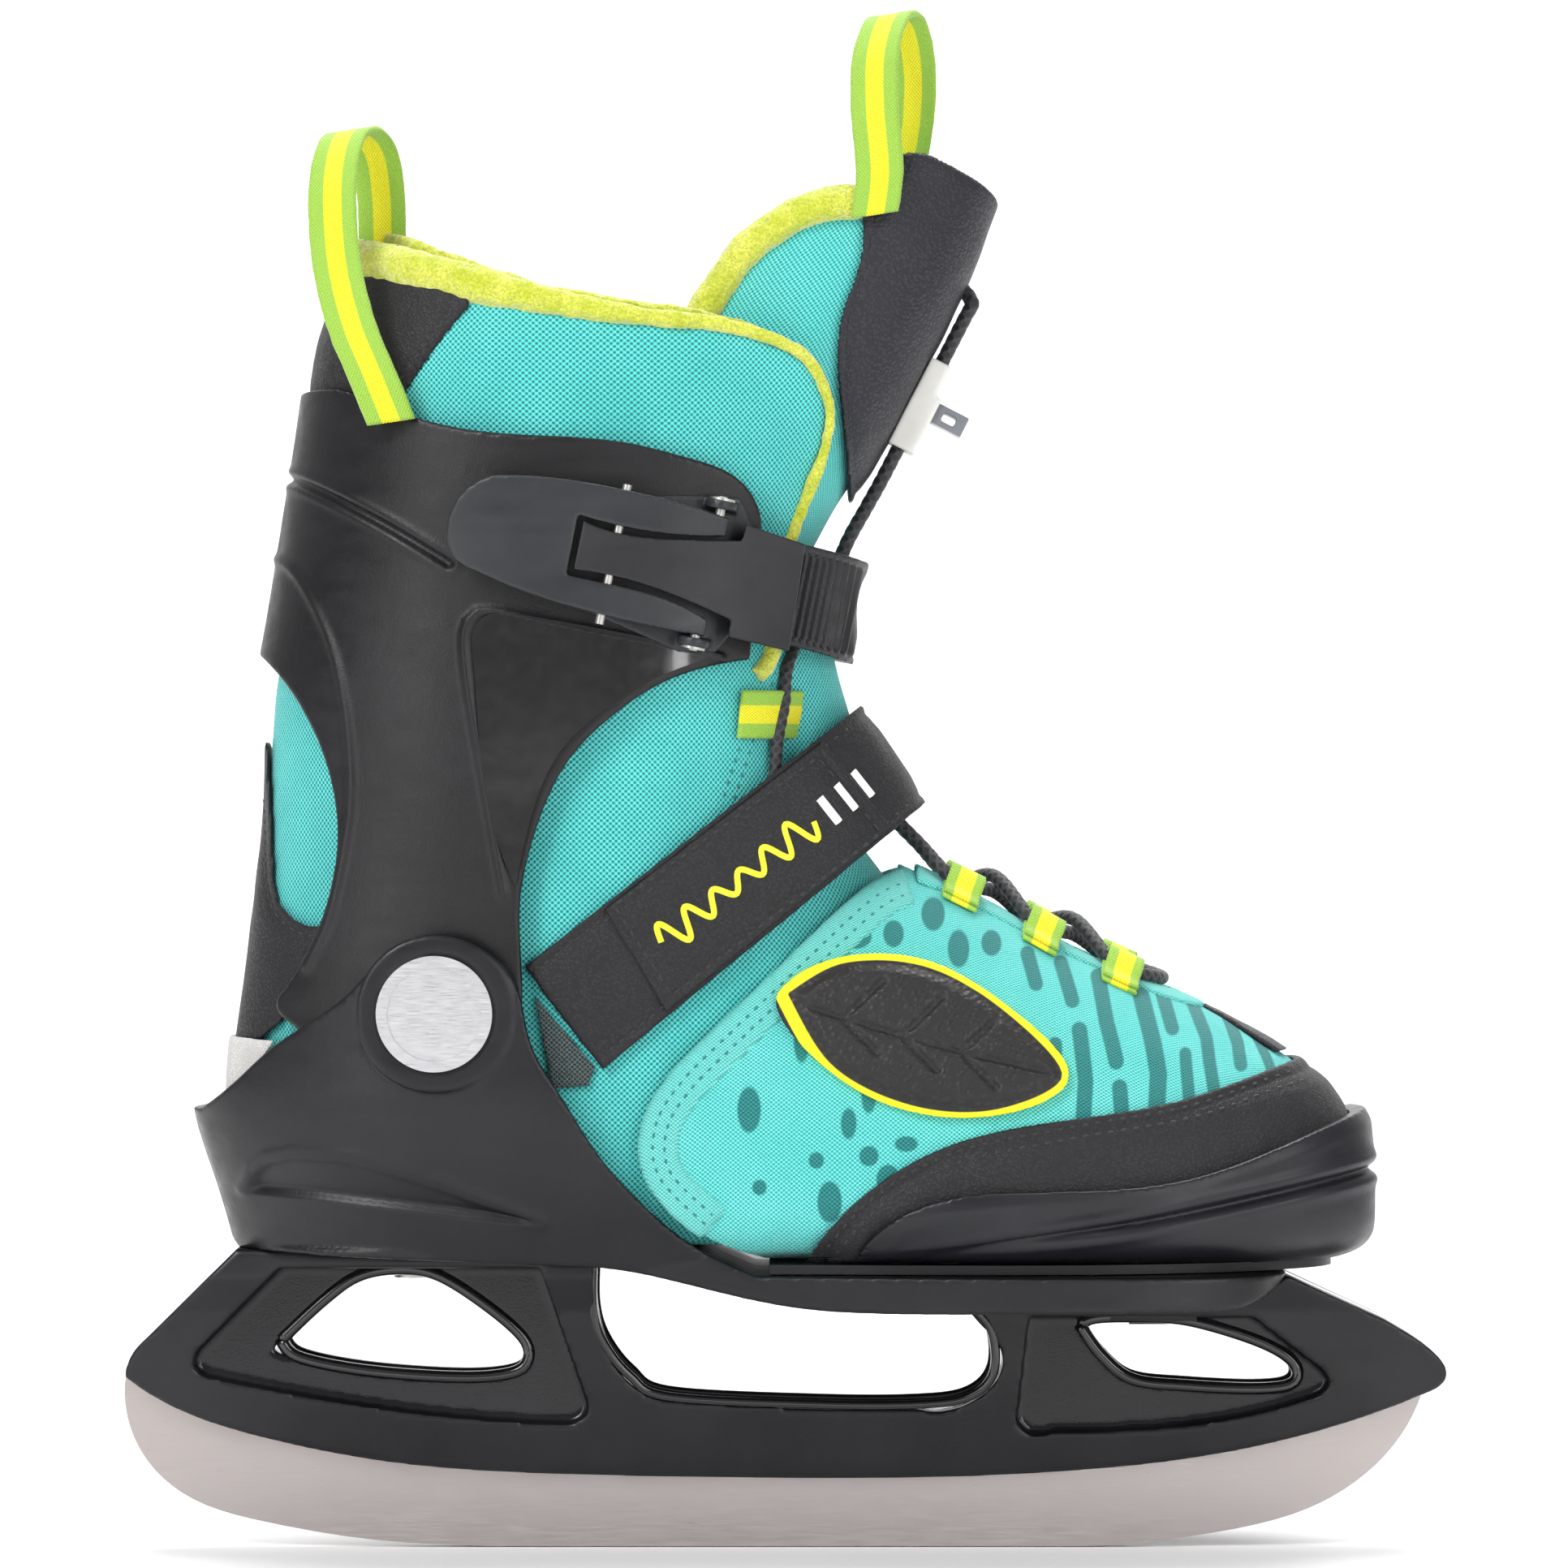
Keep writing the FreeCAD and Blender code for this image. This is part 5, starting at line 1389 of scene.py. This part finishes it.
def binding():
    """Tape over the upper's rear edge and round the laces, with two rows of thread."""
    inner = inset_path(side_run(REAR_EDGE, 3.0), -BINDING_W)
    outer = inset_path(side_run(REAR_EDGE, 3.0), 2.0)
    tape = link("edge_tape", NODES["front_upper"].data.copy())
    trimmed(tape, list(outer) + list(reversed(inner)), 0.5, 3)
    p = coords(tape)
    push(tape, 0.75 + 0.15 * field(p, 5.0))
    foot_flat(tape)
    dress(tape, BINDING, "toe_box")
    stay = link("lace_stay", NODES["eyestay"].data.copy())
    trimmed(stay, [(27.5, 60.0), (27.5, 141.0), (31.5, 170.0), (140.0, 170.0), (140.0, 60.0)], 0.45, 3)
    push(stay, 0.2 + 0.15 * field(coords(stay), 5.0))
    foot_flat(stay)
    dress(stay, BINDING, "toe_box", "eyestay")
    rows = [inset_path(side_run(REAR_EDGE, 2.0), -gap) for gap in (2.2, 4.6)]
    seam("edge_tape_thread", "toe_box", surface(tape), rows, TEAL_THREAD, pitch=2.4, length=1.2, width=0.5)


def bumper():
    guard = leather_piece("toe_bumper", "toe_guard", LEATHER, "toe_box", 0.5, 3, BUMPER_EDGE, 0.5, 0.3)
    rows = [inset_path(side_run(BUMPER_EDGE, 3.0), -gap) for gap in (1.6, 3.9)]
    seam("toe_guard_thread", "toe_box", surface(guard), rows, THREAD, pitch=2.6, length=1.6, width=0.65)
    leather_piece("toe_overlay", "toe_tip", LEATHER, "toe_box", 0.4, 3)


LEAF = ((-1.0, 117.0), (12.0, 124.0), (30.0, 123.0), (47.0, 113.0), (58.0, 99.6), (44.0, 92.0), (26.0, 92.6),
        (9.0, 101.0), (-1.0, 117.0))


def badge():
    """Plain leaf-shaped pad with a bright rim and pressed veins."""
    pad = copy_of("emblem_pad", "leaf_badge", 0.45, 3)
    p = coords(pad)
    gap = path_distance(p, side_run(LEAF, 2.0))
    veins = [((2.0, 114.5), (20.0, 109.0), (38.0, 104.0), (54.0, 100.4))]
    for x, z in ((12.0, 111.4), (24.0, 107.9), (36.0, 104.6)):
        veins.append(((x, z), (x + 8.0, z + 7.5)))
        veins.append(((x, z), (x + 7.0, z - 7.0)))
    crease = np.min([path_distance(p, vein) for vein in veins], axis=0)
    amount = 1.3 * ramp_up(gap, 1.4, 4.5) - 0.9 * bell(crease, 0.8) * ramp_up(gap, 2.5, 4.5)
    swell(pad, amount + 0.1 * field(p, 3.0))
    store(pad, "rim", gap - 1.25)
    look = leather("badge_leather", tone(28, 26, 26), 1.5, 0.4, 0.1)
    shade = look.bsdf.inputs["Base Color"].links[0].from_socket
    edge = look.level(look.attribute("rim").outputs["Fac"], -0.15, 0.15, 1.0, 0.0)
    look.paint(look.mix(edge, shade, tone(238, 230, 20)))
    pad.data.materials.append(look.mat)
    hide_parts("emblem_pad")
    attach(pad, "toe_box")


# ---- laces, loops and webbing ---------------------------------------------
LACE_R = 1.5
LOOP_X = (36.0, 52.5, 69.0)
LOOP_Y = 13.0
LACE_UP = Vector((0.457, 0, 0.889))
LACE_MID = Vector((28.4, 0, 238.4))
STRANDS = 2.4


def over(x, y, lift):
    return Vector((x, y + 1.5, foot_top(x, y + 1.5) + lift))


def front_lace():
    """Lace zigzag over the toe box, one cord out and back."""
    a, b, c = LOOP_X
    rest = 2.6
    points = [Vector((20.0, -6.0, 155.0)), Vector((28.0, -8.0, 147.0))]
    points += [over(a, -LOOP_Y, rest), over((a + b) / 2, 0.0, 3.0),
               over(b, LOOP_Y, rest), over((b + c) / 2, 0.0, 6.4),
               over(c, -LOOP_Y, rest), over(c + 9.0, -6.0, rest),
               over(c + 9.0, 6.0, rest), over(c, LOOP_Y, rest),
               over((b + c) / 2, 0.0, 3.2), over(b, -LOOP_Y, rest),
               over((a + b) / 2, 0.0, 6.2), over(a, LOOP_Y, rest)]
    points += [Vector((28.0, 9.0, 147.0)), Vector((20.0, 8.0, 155.0))]
    lace = braided_cord("front_lace_cord", points, LACE_R)
    lace.data.materials.append(CORD)
    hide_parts("front_lace")
    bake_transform(lace)


def upper_lace():
    """Lace from the eyelet in the tongue patch down under the ribbed strap."""
    top = LACE_MID + LACE_UP * 24.0
    low = LACE_MID - LACE_UP * 26.0
    half = Vector((0, STRANDS, 0))
    mid = LACE_MID
    high = LACE_MID + LACE_UP * 20.5
    deep = LACE_MID - LACE_UP * 17.0
    points = [Vector((7.6, -9.0, 193.4)), Vector((12.4, -5.0, 208.0)), low - half + Vector((0.8, 0, 2)),
              deep - half, mid - half, high - half, top - half, top + LACE_UP * 3.4 - Vector((3.4, 0, 0)), top + half,
              high + half, mid + half, deep + half,
              low + half + Vector((0.8, 0, 2)), Vector((12.4, 5.0, 208.0)), Vector((7.6, 9.0, 193.4))]
    lace = braided_cord("upper_lace_cord", points, LACE_R)
    dress(lace, CORD, "cuff", "upper_lace")


def lace_loops():
    """Striped webbing round the lace at both edges of the gap."""
    for number, x in enumerate(LOOP_X):
        for side in (-1, 1):
            y = side * LOOP_Y
            top = over(x, y, 0.0)
            ahead = (over(x + 4.0, y, 0.0) - over(x - 4.0, y, 0.0)).normalized()
            out = Vector((0, side, -0.28)).normalized()
            rise = ahead.cross(out) * side
            rise = rise if rise.z > 0 else -rise
            spots = []
            for out_by, up_by in ((7.5, 0.6), (3.5, 0.8), (0.6, 1.3), (-1.9, 2.6), (-2.4, 4.2), (-1.2, 5.4),
                                  (0.6, 5.3), (2.0, 4.0), (3.6, 2.2), (6.6, 1.5)):
                spots.append(top + out * out_by + rise * up_by)
            run = smooth_run(spots, 0.7)
            loop = band(f"lace_loop_{number}_{'outer' if side < 0 else 'inner'}", run,
                        [ahead] * len(run), 8.0, 0.9, 0.25)
            dress(loop, WEBBING, "toe_box")
            if number == 0 and side < 0:
                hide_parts("front_lace_loops")


# along the boot, and off its form: out over the edge and folded back
EYE_LINE = ((-9.0, 1.6), (-6.0, 1.6), (-3.0, 1.6), (0.0, 1.6), (2.0, 1.6), (3.2, 1.6), (2.4, 0.0), (0.4, 0.0))


def instep_lacing():
    """Lace eye of striped webbing, its lace and a tuft of fleece between the straps."""
    for side, word in ((-1, "outer"), (1, "inner")):
        spots = []
        for x, off in EYE_LINE:
            spots.append(Vector((x, side * shaft_y(x, 174.0, off), 173.6)))
        run = smooth_run(spots, 0.8)
        eye = band(f"instep_eye_{word}", run, [Vector((0.1, 0, 1))] * len(run), 10.0, 1.0, 0.25)
        eye.data.materials.append(WEBBING)
        bend(eye)
        points = [(3.0, 16.0, 190.0), (0.6, 21.0, 183.0), (0.0, 22.8, 176.0), (-1.4, 24.0, 168.0),
                  (-2.0, 25.6, 158.0)]
        lace = braided_cord(f"instep_lace_{word}", [Vector((x, side * y, z)) for x, y, z in points], 1.4)
        lace.data.materials.append(CORD)
        bend(lace)
        line = [Vector((x, side * shaft_y(x, z, 0.6), z)) for x, z in
                ((-1.6, 190.0), (-3.2, 184.6), (-5.6, 181.6))]
        tuft = fleece_roll(f"fleece_tuft_{word}", smooth_run(line, 1.0), lambda x: 2.0, 1.0)
        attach(tuft, "cuff")
    edge = [(-3.6, 184.0), (-6.0, 176.0), (-9.4, 166.0), (-12.6, 156.0)]
    fabric = bpy.data.objects["boot_fabric"]
    bend(seam("front_edge_thread", None, surface(fabric), [edge, inset_path(edge, 2.2)], TEAL_THREAD,
              pitch=2.4, length=1.2, width=0.5))


def pull_loops():
    """Striped webbing loops at the heel and on the tongue."""
    heel = [Vector(p) for p in ((-80.0, -38.4, 233.0), (-83.6, -39.4, 242.0), (-88.2, -37.6, 253.0),
                                (-91.4, -34.6, 266.0), (-92.4, -32.0, 281.0), (-91.0, -27.0, 291.0),
                                (-88.0, -20.0, 293.6), (-85.0, -14.0, 290.0), (-83.6, -11.6, 281.0),
                                (-83.4, -11.0, 268.0))]
    tongue_run = [Vector(p) for p in ((18.6, -28.6, 276.0), (19.6, -29.0, 285.0), (18.6, -28.6, 298.0),
                                      (18.8, -26.6, 309.0), (21.4, -21.0, 317.0), (24.6, -14.6, 316.6),
                                      (26.6, -10.4, 308.0), (26.4, -9.4, 297.0), (24.6, -9.4, 286.0))]
    for name, node, points in (("heel_loop", "heel_pull_loop", heel),
                               ("tongue_loop", "tongue_pull_loop", tongue_run)):
        run = smooth_run(points, 1.0)
        loop = band(name, run, [Vector((1, 0.1, 0.16))] * len(run), 10.0, 1.4)
        p = coords(loop)
        push(loop, 0.12 * field(p, 2.0))
        dress(loop, WEBBING, "cuff", node)


for make in (hard_parts, heel_shell, ankle_cuff, toe_cap, holder_beads, ribbed_strap, boot_fabric, collar,
             heel_pieces, collar_patch, instep_strap, tongue, tongue_roll, instep_pad, instep_lacing,
             tongue_patch, toe_fabric, binding, bumper, badge, front_lace, upper_lace, lace_loops, pull_loops):
    make()


# ---- room, light and camera -----------------------------------------------
COVE_WIDE, COVE_FRONT, COVE_FLAT, COVE_R, COVE_TALL = 4000.0, -4000.0, 1400.0, 900.0, 3200.0


def floor():
    """Pale floor running up into a backdrop through a wide curve."""
    look = Look("pale_floor", (0.9, 0.9, 0.9, 1.0), 0.85)
    look.roughen(look.level(look.noise(60, 2), 0.3, 0.7, 0.8, 0.95))
    side = [(COVE_FRONT, -0.2)]
    for k in range(25):
        turn = math.pi / 2 * k / 24
        side.append((COVE_FLAT + COVE_R * math.sin(turn), COVE_R - COVE_R * math.cos(turn) - 0.2))
    side.append((COVE_FLAT + COVE_R, COVE_TALL))
    vertices = [(x, y, z) for y, z in side for x in (-COVE_WIDE, COVE_WIDE)]
    faces = [(2 * k, 2 * k + 1, 2 * k + 3, 2 * k + 2) for k in range(len(side) - 1)]
    sheet = mesh_object("floor", vertices, faces)
    sheet.data.materials.append(look.mat)


MIDDLE = (0, 0, 0.16)
# name, place, aim, width, watts, height of a strip
LAMPS = (
    ("key", (-0.9, -1.3, 1.3), MIDDLE, 0.7, 22),
    ("fill", (1.3, -1.2, 0.7), MIDDLE, 0.9, 8),
    ("top", (0.1, 0.3, 1.7), MIDDLE, 1.0, 18),
    ("right_strip", (0.66, -1.3, 0.3), MIDDLE, 0.14, 4, 1.1),
    ("left_strip", (-0.8, -1.1, 0.3), MIDDLE, 0.14, 4, 1.1),
    ("backdrop", (0.0, 0.9, 2.4), (0.0, 2.2, 0.5), 1.6, 48),
)
WORLD_LIGHT = 0.42


def lamp(name, place, aim, size, watts, tall=None):
    data = bpy.data.lights.new(name, "AREA")
    data.size = size
    if tall:
        data.shape = "RECTANGLE"
        data.size_y = tall
    data.energy = watts
    obj = bpy.data.objects.new(name, data)
    bpy.context.scene.collection.objects.link(obj)
    obj.location = place
    obj.rotation_mode = "QUATERNION"
    obj.rotation_quaternion = (Vector(aim) - Vector(place)).to_track_quat("-Z", "Y")


def studio():
    bpy.context.scene.view_settings.view_transform = "Standard"
    world = bpy.data.worlds.new("studio")
    bpy.context.scene.world = world
    world.use_nodes = True
    background = world.node_tree.nodes["Background"]
    background.inputs["Color"].default_value = (1.0, 1.0, 1.0, 1.0)
    background.inputs["Strength"].default_value = WORLD_LIGHT
    for row in LAMPS:
        lamp(*row)


CAMERA_PLACE = (0.0, -1.44, 0.1593)
CAMERA_LENS = 158.0


def camera():
    data = bpy.data.cameras.new("camera")
    data.lens, data.sensor_width = CAMERA_LENS, 36.0
    data.clip_start, data.clip_end = 0.1, 20
    obj = bpy.data.objects.new("camera", data)
    bpy.context.scene.collection.objects.link(obj)
    obj.location = CAMERA_PLACE
    obj.rotation_euler = (math.radians(90), 0, 0)
    bpy.context.scene.camera = obj


floor()
studio()
camera()
